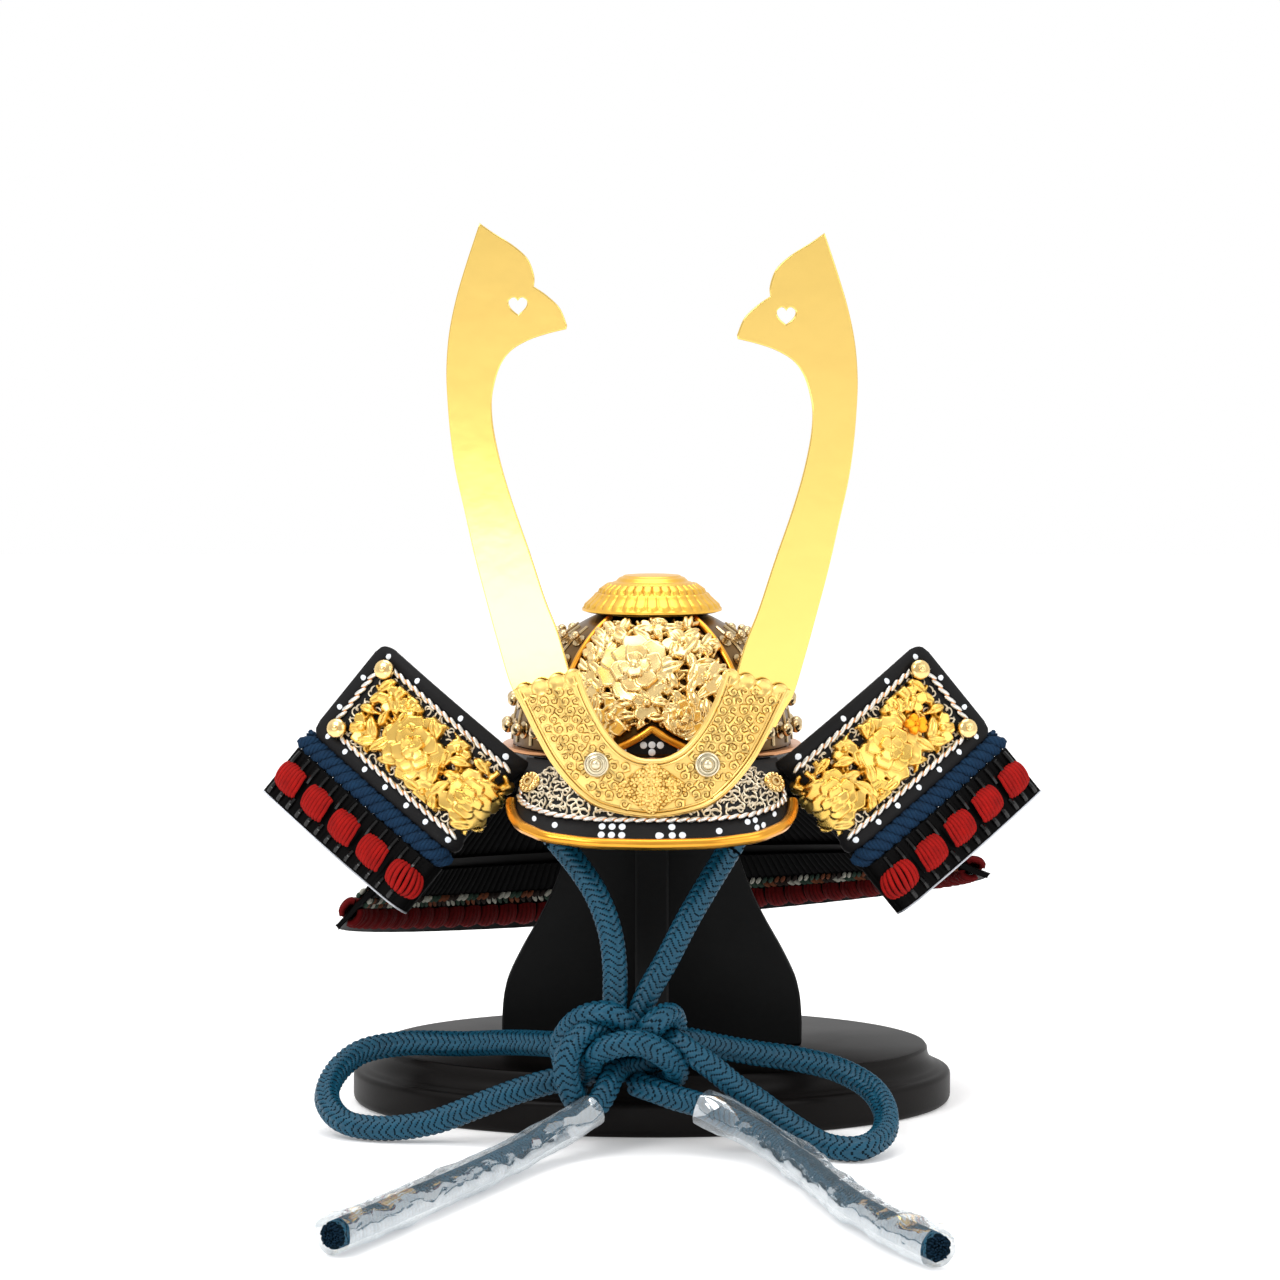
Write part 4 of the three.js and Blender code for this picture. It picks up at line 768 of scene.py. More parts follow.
def bloom(a, b, size, lift, rise, turn=0.0):
    """Full flower: three rings of broad petals round a small heart, or one ring on a small flower."""
    fields = []
    full = size >= FULL_FLOWER
    # Petals, then shares of the size: where they start, how long and wide, how high, and their turn
    rings = ((5, 0.12, 0.88, 0.86, 0.2, 0.0),)
    if full:
        rings = (
            (7, 0.28, 0.74, 0.78, 0.0, 0.0), (6, 0.14, 0.56, 0.62, 0.34, 0.4),
            (4, 0.02, 0.38, 0.44, 0.68, 0.2),
        )
    for count, start, length, width, level, shift in rings:
        for k in range(count):
            heading = (k + shift) / count * 2 * math.pi + turn + 0.16 * math.sin(2.3 * k + count)
            reach = size * length * (1 + 0.08 * math.sin(3.7 * k + turn))
            root = a + size * start * math.cos(heading), b + size * start * math.sin(heading)
            up = lift + rise * (level + 0.13 * (k % 2))
            fields.append(lobe(*root, heading, reach, size * width, up, rise * 0.5))
    fields.append(dome(a, b, size * (0.15 if full else 0.28), lift + rise * 0.8, rise * 0.35))
    return fields


def floret(a, b, size, lift, rise, turn):
    """Tiny flower of round petals."""
    fields = [dome(a, b, size * 0.4, lift + rise * 0.4, rise * 0.7)]
    for k in range(5):
        angle = turn + k * 0.4 * math.pi
        spot = a + 0.62 * size * math.cos(angle), b + 0.62 * size * math.sin(angle)
        fields.append(dome(*spot, size * 0.42, lift, rise))
    return fields


def foliage(span, pitch, outline, flowers, lift, rise, seed):
    """Leaves and stems that fill a field between its flowers."""
    pick = np.random.default_rng(seed)
    (a0, a1), (b0, b1) = span
    fields = []
    for i, x in enumerate(np.arange(a0, a1, pitch)):
        for y in np.arange(b0 + pitch / 2 * (i % 2), b1, pitch):
            x1, y1 = x + pick.uniform(-0.8, 0.8), y + pick.uniform(-0.8, 0.8)
            heading, length = pick.uniform(0, 2 * math.pi), pick.uniform(6.4, 8.8)
            up = pick.uniform(-0.2, 0.7)
            if outline(np.array(x1), np.array(y1)) < 0.8:
                continue
            if any(math.hypot(x1 - a, y1 - b) < 0.72 * size for a, b, size in flowers):
                continue
            c, s = math.cos(heading), math.sin(heading)
            root = x1 - c * length / 2, y1 - s * length / 2
            fields.append(lobe(*root, heading, length, length * 0.5, lift + up, rise, True))
            stem = [(x1 - 4 * s, y1 + 4 * c), (x1 + 0.8 * c, y1 + 0.8 * s), (x1 + 4 * s, y1 - 4 * c)]
            fields.append(rod(stem, 0.75, lift))
    return fields


OUTSIDE = -9.0


def relief(bag, fields, span, step, outline, place, ground, depth=1.0, soft=0.75):
    """Cast openwork: the highest motif shows at each place, and gaps stay open between motifs."""
    (a0, a1), (b0, b1) = span
    cols, rows = int(round((a1 - a0) / step)), int(round((b1 - b0) / step))
    x, y = np.meshgrid(np.linspace(a0, a1, cols + 1), np.linspace(b0, b1, rows + 1), indexing="ij")
    edge, height = np.full(x.shape, OUTSIDE), np.zeros(x.shape)
    for field in fields:
        near, level = field(x, y)
        level = level * np.sqrt(1 - (1 - np.clip(near / soft, 0, 1)) ** 2)
        height = np.where(near > 0, np.maximum(height, level), height)
        edge = np.maximum(edge, near)
    edge = np.minimum(edge, outline(x, y))
    edge[[0, -1]] = OUTSIDE
    edge[:, [0, -1]] = OUTSIDE
    height = height * np.sqrt(1 - (1 - np.clip(edge / soft, 0, 1)) ** 2)
    # Points just past an edge are drawn back to it
    total, along, across = np.zeros(x.shape), np.zeros(x.shape), np.zeros(x.shape)
    for shift in ((1, 0), (-1, 0), (0, 1), (0, -1), (1, 1), (-1, -1), (1, -1), (-1, 1)):
        near, qx, qy = (np.roll(g, shift, (0, 1)) for g in (edge, x, y))
        use = (edge <= 0) & (near > 0)
        share = np.where(use, -edge / np.maximum(near - edge, 1e-6), 0)
        total += use
        along += np.where(use, x + (qx - x) * share, 0)
        across += np.where(use, y + (qy - y) * share, 0)
    moved = total > 0
    x = np.where(moved, along / np.maximum(total, 1), x)
    y = np.where(moved, across / np.maximum(total, 1), y)
    full = edge > 0
    kept = full[:-1, :-1] | full[1:, :-1] | full[:-1, 1:] | full[1:, 1:]
    r = rows + 1
    n = x.size
    i, j = np.nonzero(kept)
    a = i * r + j
    faces = [np.stack([a, a + r, a + r + 1, a + 1], axis=1)]
    wide = np.pad(kept, 1)
    # Walls on the sides of a face that have no face beside them
    sides = (((0, -1), (0, r)), ((1, 0), (r, r + 1)), ((0, 1), (r + 1, 1)), ((-1, 0), (1, 0)))
    for (di, dj), (p, q) in sides:
        rim = a[~wide[i + 1 + di, j + 1 + dj]]
        faces.append(np.stack([rim + q, rim + p, rim + p + n, rim + q + n], axis=1))
    faces = np.vstack(faces)
    used, index = np.unique(faces, return_inverse=True)
    x, y, height = x.ravel(), y.ravel(), height.ravel()
    top = used < n
    at = np.where(top, used, used - n)
    level = np.where(top, ground + height[at], ground - depth)
    bag.add((place(x[at], y[at], level), index.reshape(-1, 4)))


def spray_fields(span, outline, flowers, full, leaf_rise, seed, lifts, rise, turn):
    """Leaves and flowers of a spray. The first flowers, full of them, stand higher."""
    fields = foliage(span, 5.0, outline, flowers[:full], 0.3, leaf_rise, seed)
    for number, (a, b, size) in enumerate(flowers):
        fields += bloom(a, b, size, lifts[number >= full], rise + size * 0.12, number * turn)
    return fields


# Front openwork: a peony spray over the bowl's front
OPENWORK_LOW, OPENWORK_PEAK = 121.0, 7.5
FRONT_TOP = 49.5
# Height up the bowl and half width there
FRONT_HALF = np.array([(2, 17.5), (12, 22.8), (24, 25.2), (38, 21.6), (FRONT_TOP, 14.2)])
# Flowers: across, up and size
FRONT_FLOWERS = [
    (-5, 27.5, 11.5), (9.5, 37.0, 6.4), (-12.5, 11.5, 6.2), (10.0, 12.0, 7.0), (17.5, 24.0, 5.6),
    (-13, 41, 5.2), (-1.5, 16.0, 5.4), (-19.5, 22, 4.6), (-18.5, 33, 4.2), (0.5, 45.5, 4.4), (3.8, 22.5, 4.2),
]


def front_openwork():
    """Pierced spray on the bowl's front, and the leather below it."""

    def place(a, b, h):
        # a is an arc length round the bowl, b an arc length up it from the brim
        lift = b / BOWL_R
        z = BRIM_Z + BOWL_R * np.sin(lift)
        angle = a / (BOWL_R * np.maximum(np.cos(lift), 0.35))
        return bowl_point(angle, z, h)

    def outline(x, y):
        low = 3.0 + OPENWORK_PEAK * (1 - np.clip(np.abs(x) / 15.7, 0, 1)) ** 1.5
        half = np.interp(y, FRONT_HALF[:, 0], FRONT_HALF[:, 1])
        return np.minimum(half - np.abs(x), np.minimum(y - low, FRONT_TOP - y))

    fields = spray_fields(((-23, 24), (4, 50)), outline, FRONT_FLOWERS, 1, 1.6, 5, (1.0, 0.6), 1.5, 0.9)
    bag = Bag()
    relief(bag, fields, ((-25, 25), (2, 51)), 0.3, outline, place, 1.0)
    bag.make("front_spray", [CAST], "pale_gold", ["front_openwork"], angle=60)

    # Printed leather and its white dots under the point of the border
    def leather(u, v, face):
        return place(lerp(-13, 13, u), lerp(0.6, 8.0 - 12 * abs(u - 0.5), v), 0.35 + face * 0.3)

    patch = Bag()
    patch.add(sheet(30, 8, leather), 0)
    for a, b in ((-2.6, 3.4), (0.0, 1.2), (2.6, 3.4), (0.0, 3.5), (-9, 1.6), (9, 1.6)):
        patch.lay(turned([(1.15, 0), (0.9, 0.2), (0, 0.25)], 14), place, 1, (a, b, 0.62))
    patch.make("brow_leather", [LEATHER, PRINT], "leather")


def gold_line(name, points, radius, node):
    """Gold bead along a line."""
    one(name, tube(resample(points, per_mm=0.8), radius, 12), RICH, "rich_gold", [node])


def ribs_and_border():
    """Two gold ribs beside the openwork and the pointed gold border below it."""
    z = np.linspace(BRIM_Z + 2, BRIM_Z + BOWL_TOP - 1.0, 40)
    for name, side in (("left", -1), ("right", 1)):
        points = bowl_point(side * (RIB_ANGLE + 1.5) * DEG, z, 1.0)
        gold_line(f"rib_{name}", points, 1.1, f"openwork_rib_{name}")
    across = np.linspace(-1, 1, 41)
    edge = OPENWORK_PEAK * (1 - np.abs(across)) ** 1.5
    points = bowl_point(across * 20 * DEG, OPENWORK_LOW - 2.1 + edge, 1.7)
    gold_line("brow_border", points, 1.25, "openwork_border")


# Finial: a stepped plateau over two rows of flat, overlapping petals
FINIAL_R = 22.6
FINIAL_PETALS = 34
FINIAL = [
    (0, 12.4), (6, 12.4), (9.2, 12.2), (9.6, 11.7), (10.4, 11.6), (11.2, 10.9), (11.6, 10.4), (13.0, 9.9),
    (14.2, 8.9), (17.8, 6.4), (19.0, 4.6), (21.6, 2.2), (FINIAL_R, 1.5),
]


def finial():
    """Height field over the top, from above, and a turned underside that reaches into the bowl."""
    bottom = BRIM_Z + BOWL_TOP + GAP
    count, radial = FINIAL_PETALS, 62
    segments = count * 11
    around = np.arange(segments) / segments
    r = np.linspace(0.3, FINIAL_R, radial)
    reach, turn = np.meshgrid(r, around, indexing="ij")
    z = np.interp(reach, *np.array(FINIAL).T)
    # Rows of petals: radius of their roots and tips, and their shift round
    for start, end, shift in ((13.6, 17.6, 0.0), (17.6, 22.4, 0.5)):
        t = ((turn * count + shift) % 1.0) * 2 - 1
        tip = end - 1.0 * t**2
        level = np.clip((tip - reach) / 0.45, 0, 1) * np.clip((reach - start) / 0.8, 0, 1)
        groove = np.exp(-(((np.abs(t) - 1) / 0.16) ** 2))
        z = z + level * (0.85 * (1 - 0.55 * groove) + 0.15 * (1 - t**2))
    x, y = reach * np.sin(turn * 2 * math.pi), HELMET_Y - reach * np.cos(turn * 2 * math.pi)
    v = np.stack([x, y, bottom + z], axis=-1).reshape(-1, 3)
    bag = Bag()
    bag.add((v, grid_faces(radial, segments, wrap=True)))
    under = [(0.3, 12.4), (0, 12.4), (0, -1.2), (15.5, -1.2), (15.5, 0.2), (21, 0.4)]
    under += [(FINIAL_R, 0.9), (FINIAL_R, 1.6)]
    bag.add(turned(under, count * 4, (0, HELMET_Y, bottom)))
    bag.make("finial_petals", [SATIN], "rich_gold", ["top_finial"], angle=45)


bowl()
waist_band()
front_openwork()
ribs_and_border()
finial()


# Visor: leather-faced plate, gold rim, twisted silver piping, scrolls and rosettes
# Share across, then shares of the rim's half width, reach and drop
VISOR_EDGE = np.array([
    (0.0, 0.0, 1.0, 1.0), (0.3, 0.42, 0.97, 0.985), (0.55, 0.74, 0.84, 0.92), (0.78, 0.94, 0.48, 0.8),
    (0.92, 1.0, 0.1, 0.66), (1.0, 0.995, -0.12, 0.5),
])
VISOR_WALL = 1.8
VISOR_ROOT_Z = BRIM_Z - 2.2
VISOR_ROOT_R = BOWL_R + 2 + GAP + 0.6 * VISOR_WALL
VISOR_HALF_ANGLE = 55
VISOR_HALF, VISOR_REACH, VISOR_DROP = 42.8, 28, 20.6
VISOR_AROUND, VISOR_DEEP = 62, 33


def soft_table(table, at, column):
    """Value of a table's column, smoothed between its rows."""
    total = 0
    for shift in (-0.05, -0.025, 0, 0.025, 0.05):
        total = total + np.interp(np.clip(np.abs(at + shift), 0, 1), table[:, 0], table[:, column])
    return total / 5


def visor_point(across, out, off):
    """Point on the visor, by share across it, share out from the waist and way off its face."""
    across, out, off = np.broadcast_arrays(across, out, off)
    angle = across * VISOR_HALF_ANGLE * DEG
    zero = np.zeros_like(angle)
    root = np.stack([np.sin(angle), -np.cos(angle), zero], axis=-1) * VISOR_ROOT_R
    root = root + arr(0, HELMET_Y, VISOR_ROOT_Z)
    at = np.abs(across)
    edge = np.stack([
        np.sign(across) * VISOR_HALF * soft_table(VISOR_EDGE, at, 1) * np.clip(at / 0.08, 0, 1),
        HELMET_Y - VISOR_ROOT_R - VISOR_REACH * soft_table(VISOR_EDGE, at, 2),
        VISOR_ROOT_Z - VISOR_DROP * soft_table(VISOR_EDGE, at, 3),
    ], axis=-1)
    outward = unit(np.stack([np.sin(angle) * 0.6, -np.cos(angle) * 0.6, zero + 0.8], axis=-1))
    rise = 2.4 * np.sin(math.pi * out) * (1 - 0.5 * at)
    return root + (edge - root) * out[..., None] + outward * (rise + off)[..., None]


def visor_round(inset, off):
    """Line round the visor's face, inset from its rim."""
    corner = 1 - inset * 0.6
    line = [(-corner, 0.45)] + [(k / 12 * corner, 1 - inset) for k in range(-12, 13)] + [(corner, 0.45)]
    flat = np.array([(a, o, 0) for a, o in line])
    flat = resample(flat, count=60)
    return visor_point(flat[:, 0], flat[:, 1], off)


def wheat_ear(name, line, above, node, both_hands=False):
    """Silver cord of long slanted grains over copper, along a line. above lies over each point."""
    joined = resample(np.hstack([line, above]), count=int(length_of(line) / 3.2))
    line, up = joined[:, :3], unit(joined[:, 3:] - joined[:, :3])
    along = unit(np.gradient(line, axis=0))
    side = np.cross(up, along)
    v, f = ball(1.0, 10, 9)
    x, y, z = v[:, 0] * 2.3, v[:, 1] * 0.72, v[:, 2:] * 0.7
    lean = 0.36
    forward = (x * math.cos(lean) - y * math.sin(lean))[:, None]
    across = (x * math.sin(lean) + y * math.cos(lean))[:, None]
    bag = Bag()
    for k in range(len(line)):
        bag.add((line[k] + forward * along[k] + across * side[k] + z * up[k], f), 0)
    bag.add(tube(line, 0.5, 6), 1)
    if both_hands:
        both(name, bag, [SILVER, COPPER], "silver", node, angle=60)
    else:
        bag.make(name, [SILVER, COPPER], "silver", [node], angle=60)


def dots(spots, place, size=1.15):
    """White dots printed on leather. spots are plane points that place puts on the surface."""
    bag = Bag()
    for a, b in spots:
        bag.lay(turned([(size, 0), (size * 0.8, 0.14), (0, 0.18)], 14), place, 0, (a, b, 0))
    return bag


def visor():
    """Leather-faced visor with its rim, piping, dots and scrolls."""
    plate = sheet(96, 18, lambda u, v, face: visor_point(2 * u - 1, v, (face - 1) * VISOR_WALL))
    one("visor_plate", plate, LEATHER, "leather", ["visor"], angle=50)
    # Rim, with a groove along it
    across = np.linspace(-1, 1, 121)
    edge = visor_point(across, 1.0, -0.9)
    away = unit(np.stack([edge[:, 0], (edge[:, 1] - HELMET_Y) * 0.8, np.full(len(edge), -8.0)], axis=1))
    path = resample(edge + away * 2.4, per_mm=0.9)
    angle = np.arange(20) / 20 * 2 * math.pi
    from_groove = np.abs((angle - 0.5 + math.pi) % (2 * math.pi) - math.pi)
    radius = 1.8 - 0.3 * np.exp(-((from_groove / 0.28) ** 2))
    rim = tube(path, np.tile(radius, (len(path), 1)), 20)
    one("visor_gold_rim", rim, RICH, "rich_gold", ["visor_rim"], angle=60)
    line = visor_round(0.2, 0.75)
    wheat_ear("visor_twist", line, visor_round(0.2, 1.75), "visor_piping")

    def place(a, b, h):
        # a is millimetres along the edge, b millimetres in from it
        return visor_point(np.clip(a / VISOR_AROUND, -1, 1), 1 - b / VISOR_DEEP, h)

    # Groups of dots: place along the rim, then the dots of the upper and of the lower row
    groups = ((-13, (-3.3, 0, 3.3), (-3.3, 0, 3.3)), (6.5, (0,), (-3.3, 0, 3.3)), (36, (-3.3, 0), (0, 3.3)))
    spots = []
    for a, upper, lower in groups:
        spots += [(a + step, 4.7) for step in upper] + [(a + step, 1.7) for step in lower]
    spots += [(-43, 3.2), (-33, 3.4), (46, 4.2), (-54, 6), (54, 6), (22, 2.6)]
    dots(spots, place).make("visor_dots", [PRINT], "leather")
    # Scrolling silver threads between the piping and the waist
    bag = Bag()
    for row, b in enumerate((9.4, 13.0, 16.6, 20.2, 23.8, 27.0)):
        for k in range(-12, 13):
            a = (k + 0.5 * (row % 2)) * 4.5
            if abs(a) > 54 - b * 0.3:
                continue
            hand = 1 if (k + row) % 2 else -1
            bag.lay(spiral(a, b, 2.3, k * 1.9 + row, 0.8, hand, 0.36, 0.2, 14), place)
            for turn in (0.0, 1.2):
                t = np.linspace(0, 1, 8)
                heading = 0.8 + turn + t
                x, y = a + hand * (0.6 + 3.6 * t * np.cos(heading)), b + 3.6 * t * np.sin(heading)
                tendril = np.stack([x, y, np.full(8, 0.25)], axis=1)
                bag.lay(tube(tendril, 0.52 * np.sin(0.4 + 2.5 * t), 6), place)
    bag.make("visor_scrolls", [THREAD], "silver", angle=60)


def domed_flower(size, height, petals):
    """Round boss with a beaded edge and a pierced centre."""
    shares = [(0, 0), (1, 0), (1, 0.4), (0.86, 0.55), (0.5, 0.7), (0.42, 1), (0.25, 1), (0.2, 0.6), (0, 0.6)]
    made = [turned([(size * r, height * z) for r, z in shares], 24)]
    for k in range(petals):
        a = k / petals * 2 * math.pi
        v, f = ball(size * 0.24, 8, 6, (1, 1, 0.8))
        made.append((v + arr(size * 0.74 * math.cos(a), size * 0.74 * math.sin(a), height * 0.55), f))
    return made


def rosettes():
    """A rosette on each side of the visor."""
    for name, side in (("left", -1), ("right", 1)):
        bag = Bag()
        spot = visor_point(side * 0.8, 0.5, 1.2)
        for made in domed_flower(3.5, 1.8, 12):
            bag.stand(made, spot, arr(side * 0.45, -0.75, 0.5))
        bag.make(f"rosette_{name}", [CAST], "pale_gold", [f"visor_rosette_{name}"])


visor()
rosettes()


# Crest base: engraved U with raised rims
CREST_HALF, CREST_HIGH, CREST_Z, CREST_Y = 42.7, 46.0, 101.7, -75.6
CREST_WALL = 1.6
CREST_BEND = 260.0
CLUSTER_Z = 9.3
# Shares of the half width and of the height, from the middle to the arm's end
CREST_OUTER = [
    (0, 0), (0.22, 0.025), (0.42, 0.08), (0.58, 0.2), (0.73, 0.37), (0.84, 0.55), (0.92, 0.7), (1.0, 0.85),
]
CREST_INNER = [
    (0, 0.395), (0.11, 0.41), (0.23, 0.475), (0.335, 0.59), (0.415, 0.72), (0.48, 0.86), (0.52, 0.99),
]


def even_spline(points, u):
    """Catmull-Rom curve with evenly numbered points, at shares u of its points."""
    p = np.array(points, dtype=float)
    last = len(p) - 1
    at = np.asarray(u) * last
    i = np.minimum(at.astype(int), last - 1)
    t = (at - i)[..., None]
    p0, p1, p2, p3 = p[np.maximum(i - 1, 0)], p[i], p[i + 1], p[np.minimum(i + 2, last)]
    v0, v1 = (p2 - p0) / 2, (p3 - p1) / 2
    return (2 * p1 - 2 * p2 + v0 + v1) * t**3 + (-3 * p1 + 3 * p2 - 2 * v0 - v1) * t**2 + v0 * t + p1


def both_sides(rows, wide, high):
    """Outline from the left end to the right, from the shares of its right half."""
    half = np.array(rows, dtype=float) * arr(wide, high)
    return np.vstack([(half[1:] * arr(-1, 1))[::-1], half])


CREST_OUT = both_sides(CREST_OUTER, CREST_HALF, CREST_HIGH)
CREST_IN = both_sides(CREST_INNER, CREST_HALF, CREST_HIGH)


def crest_point(x, z, off):
    """Point in front of the crest base's back, which bends back towards its arms."""
    x, z, off = np.broadcast_arrays(x, z, off)
    return np.stack([x, CREST_Y + x**2 / (2 * CREST_BEND) - off, CREST_Z + z], axis=-1)


def inside(points, loop, margin):
    """Which points lie in a closed loop, further than margin from its edge."""
    a, b = loop, np.roll(loop, -1, axis=0)
    run, climb = b[:, 0] - a[:, 0], b[:, 1] - a[:, 1]
    climb = np.where(climb == 0, 1e-9, climb)
    kept = []
    for p in points:
        level = (a[:, 1] > p[1]) != (b[:, 1] > p[1])
        cross = level & (p[0] < run * (p[1] - a[:, 1]) / climb + a[:, 0])
        t = np.clip(((p - a) * (b - a)).sum(1) / np.maximum(((b - a) ** 2).sum(1), 1e-9), 0, 1)
        near = np.linalg.norm(a + (b - a) * t[:, None] - p, axis=1).min()
        kept.append(bool(cross.sum() % 2) and near > margin)
    return np.array(kept)


# Radius and height: two washers and a domed head
STUD = [
    (0, 0), (4.0, 0), (4.0, 0.4), (3.7, 0.8), (3.3, 0.9), (3.1, 0.6), (2.8, 0.6), (2.7, 1.1), (2.3, 1.3),
    (2.0, 1.0), (1.7, 1.0), (1.6, 1.6), (1.1, 2.1), (0.5, 2.3), (0, 2.3),
]


def crest_base():
    """Engraved plate with raised rims, ruffled arm tops, scrolls, small flowers and two studs."""

    def place(u, v, face):
        p = lerp(even_spline(CREST_OUT, u), even_spline(CREST_IN, u), v[..., None])
        edge = np.minimum(v, 1 - v)
        rim = 0.75 * np.exp(-((edge - 0.05) / 0.032) ** 4)
        return crest_point(p[..., 0], p[..., 1], face * (CREST_WALL + rim))

    bag = Bag()
    bag.add(sheet(124, 52, place))
    u = np.linspace(0, 1, 141)
    outer, inner = even_spline(CREST_OUT, u), even_spline(CREST_IN, u)
    loop = np.vstack([outer, inner[::-1]])
    # A fine line inside each raised rim
    for share in (0.115, 0.885):
        line = lerp(outer, inner, share)[3:-3]
        bag.add(tube(resample(crest_point(line[:, 0], line[:, 1], CREST_WALL + 0.1), per_mm=0.6), 0.33, 6))
    # Ruffled tops of the arms
    for end, side in ((0, -1), (-1, 1)):
        for k in range(4):
            p = lerp(outer[end], inner[end], (k + 0.5) / 4) + arr(-side * 0.6, -1.5)
            step = CREST_WALL + 0.1
            scallop = [(0, 0), (2.75, 0), (2.75, step), (2.2, CREST_WALL + 0.45), (1.7, step), (0, 1.65)]
            bag.lay(turned(scallop, 24), crest_point, 0, (*p, 0))
    # Scrolls over the whole face, in staggered rows
    pitch = 3.35
    spots = np.array([
        ((k + 0.5 * (row % 2)) * pitch, row * pitch * 0.86 + 1.5) for row in range(17) for k in range(-14, 15)
    ])
    spots = spots[inside(spots, loop, 3.0)]
    ground = CREST_WALL + 0.12
    for number, (a, b) in enumerate(spots):
        if abs(a) / 12.5 + abs(b - CLUSTER_Z) / 9.0 < 1:
            continue
        hand = 1 if number % 2 else -1
        start = 2.4 * number
        bag.lay(spiral(a, b, 1.62, start, 1.25, hand, 0.46, ground, 18), crest_point)
        along, heading = np.linspace(0, 2.0, 6), start + hand * 2.1
        x = a + 1.6 * math.cos(start) + along * math.cos(heading)
        y = b + 1.6 * math.sin(start) + along * math.sin(heading)
        tail = np.stack([x, y, np.full(6, ground)], axis=1)
        bag.lay(tube(tail, np.linspace(0.46, 0.62, 6), 5), crest_point)

    # Cluster of small flowers and leaves, low in the middle
    def diamond(x, y):
        return 8.6 - np.abs(x) * 0.7 - np.abs(y - CLUSTER_Z)

    fields = []
    for x in np.arange(-9, 10, 2.5):
        fields += [lobe(x - 3, y, 0.6 * x, 6.0, 3.2, 0.0, 0.3, True) for y in (5, CLUSTER_Z, 13)]
    for row in range(6):
        for k in range(-3, 4):
            a, b = (k + 0.5 * (row % 2)) * 3.6, 2.4 + row * 2.9
            fields += floret(a, b, 1.7, 0.25, 0.55, k + row)
    relief(bag, fields, ((-13, 13), (0, 19)), 0.2, diamond, crest_point, CREST_WALL + 0.15, 0.3, 0.3)
    bag.make("crest_engraved", [ENGRAVED], "rich_gold", ["crest_base"], angle=50)
    for name, side in (("left", -1), ("right", 1)):
        stud = Bag()
        spot = crest_point(side * 0.4 * CREST_HALF, 0.36 * CREST_HIGH, CREST_WALL + GAP)
        stud.stand(turned(STUD, 28), spot, arr(side * 0.12, -1, 0))
        stud.make(f"stud_{name}", [PEWTER], "pale_gold", [f"crest_stud_{name}"])


# Horn blades
BLADE_HIGH, BLADE_REACH, BLADE_WALL = 146.0, 62.4, 1.2
BLADE_LEAN, BLADE_FOOT = 3 * DEG, -6.0
# Edges of the blade as shares of its reach and height, and the points to draw each with
BLADE_EDGES = {
    "outer": ([
        (0.66, 0.0), (0.7, 0.03), (0.755, 0.11), (0.82, 0.215), (0.87, 0.3), (0.915, 0.39), (0.96, 0.48),
        (0.985, 0.56), (0.998, 0.64), (1.0, 0.7), (0.985, 0.77), (0.95, 0.84), (0.9, 0.91), (0.827, 1.0),
    ], 70),
    "crown": ([(0.827, 1.0), (0.76, 0.98), (0.66, 0.953), (0.59, 0.925), (0.56, 0.89), (0.562, 0.868)], 26),
    "beak": ([(0.562, 0.868), (0.5, 0.85), (0.435, 0.823), (0.4, 0.787)], 14),
    "inner": ([
        (0.404, 0.779), (0.5, 0.769), (0.595, 0.755), (0.68, 0.733), (0.735, 0.7), (0.77, 0.65),
        (0.777, 0.61), (0.765, 0.56), (0.73, 0.49), (0.675, 0.41), (0.595, 0.31), (0.52, 0.21),
        (0.45, 0.13), (0.37, 0.0),
    ], 80),
}
HEART_AT = (0.642, 0.829)
HEART_WIDE = 5.6


def bezier(p0, p1, p2, count):
    t = np.linspace(0, 1, count)[:-1, None]
    return (1 - t) ** 2 * np.array(p0) + 2 * t * (1 - t) * np.array(p1) + t**2 * np.array(p2)


def heart():
    """Outline of the heart-shaped hole, of four curves."""
    h = HEART_WIDE / 2
    curves = [
        ((0, -h), (h * 1.2, -h * 0.2), (h, h * 0.5)), ((h, h * 0.5), (h * 0.4, h * 1.2), (0, h * 0.45)),
        ((0, h * 0.45), (-h * 0.4, h * 1.2), (-h, h * 0.5)), ((-h, h * 0.5), (-h * 1.2, -h * 0.2), (0, -h)),
    ]
    return np.vstack([bezier(*curve, 10) for curve in curves])


def cut_out(outline, hole, thickness, edge):
    """Flat plate with rounded edges, in its own plane, from an outline and a hole."""
    data = bpy.data.curves.new("outline", "CURVE")
    data.dimensions = "2D"
    data.fill_mode = "BOTH"
    data.extrude = thickness / 2 - edge
    data.bevel_depth = edge
    data.bevel_resolution = 2
    data.offset = -edge
    for loop in (outline, hole):
        line = data.splines.new("POLY")
        line.points.add(len(loop) - 1)
        flat, weight = np.zeros((len(loop), 1)), np.ones((len(loop), 1))
        line.points.foreach_set("co", np.hstack([loop, flat, weight]).ravel())
        line.use_cyclic_u = True
    holder = bpy.data.objects.new("outline", data)
    scene.collection.objects.link(holder)
    mesh = bpy.data.meshes.new_from_object(holder.evaluated_get(bpy.context.evaluated_depsgraph_get()))
    v = np.empty(len(mesh.vertices) * 3)
    mesh.vertices.foreach_get("co", v)
    faces = [list(p.vertices) for p in mesh.polygons]
    bpy.data.objects.remove(holder)
    bpy.data.curves.remove(data)
    bpy.data.meshes.remove(mesh)
    return v.reshape(-1, 3), faces


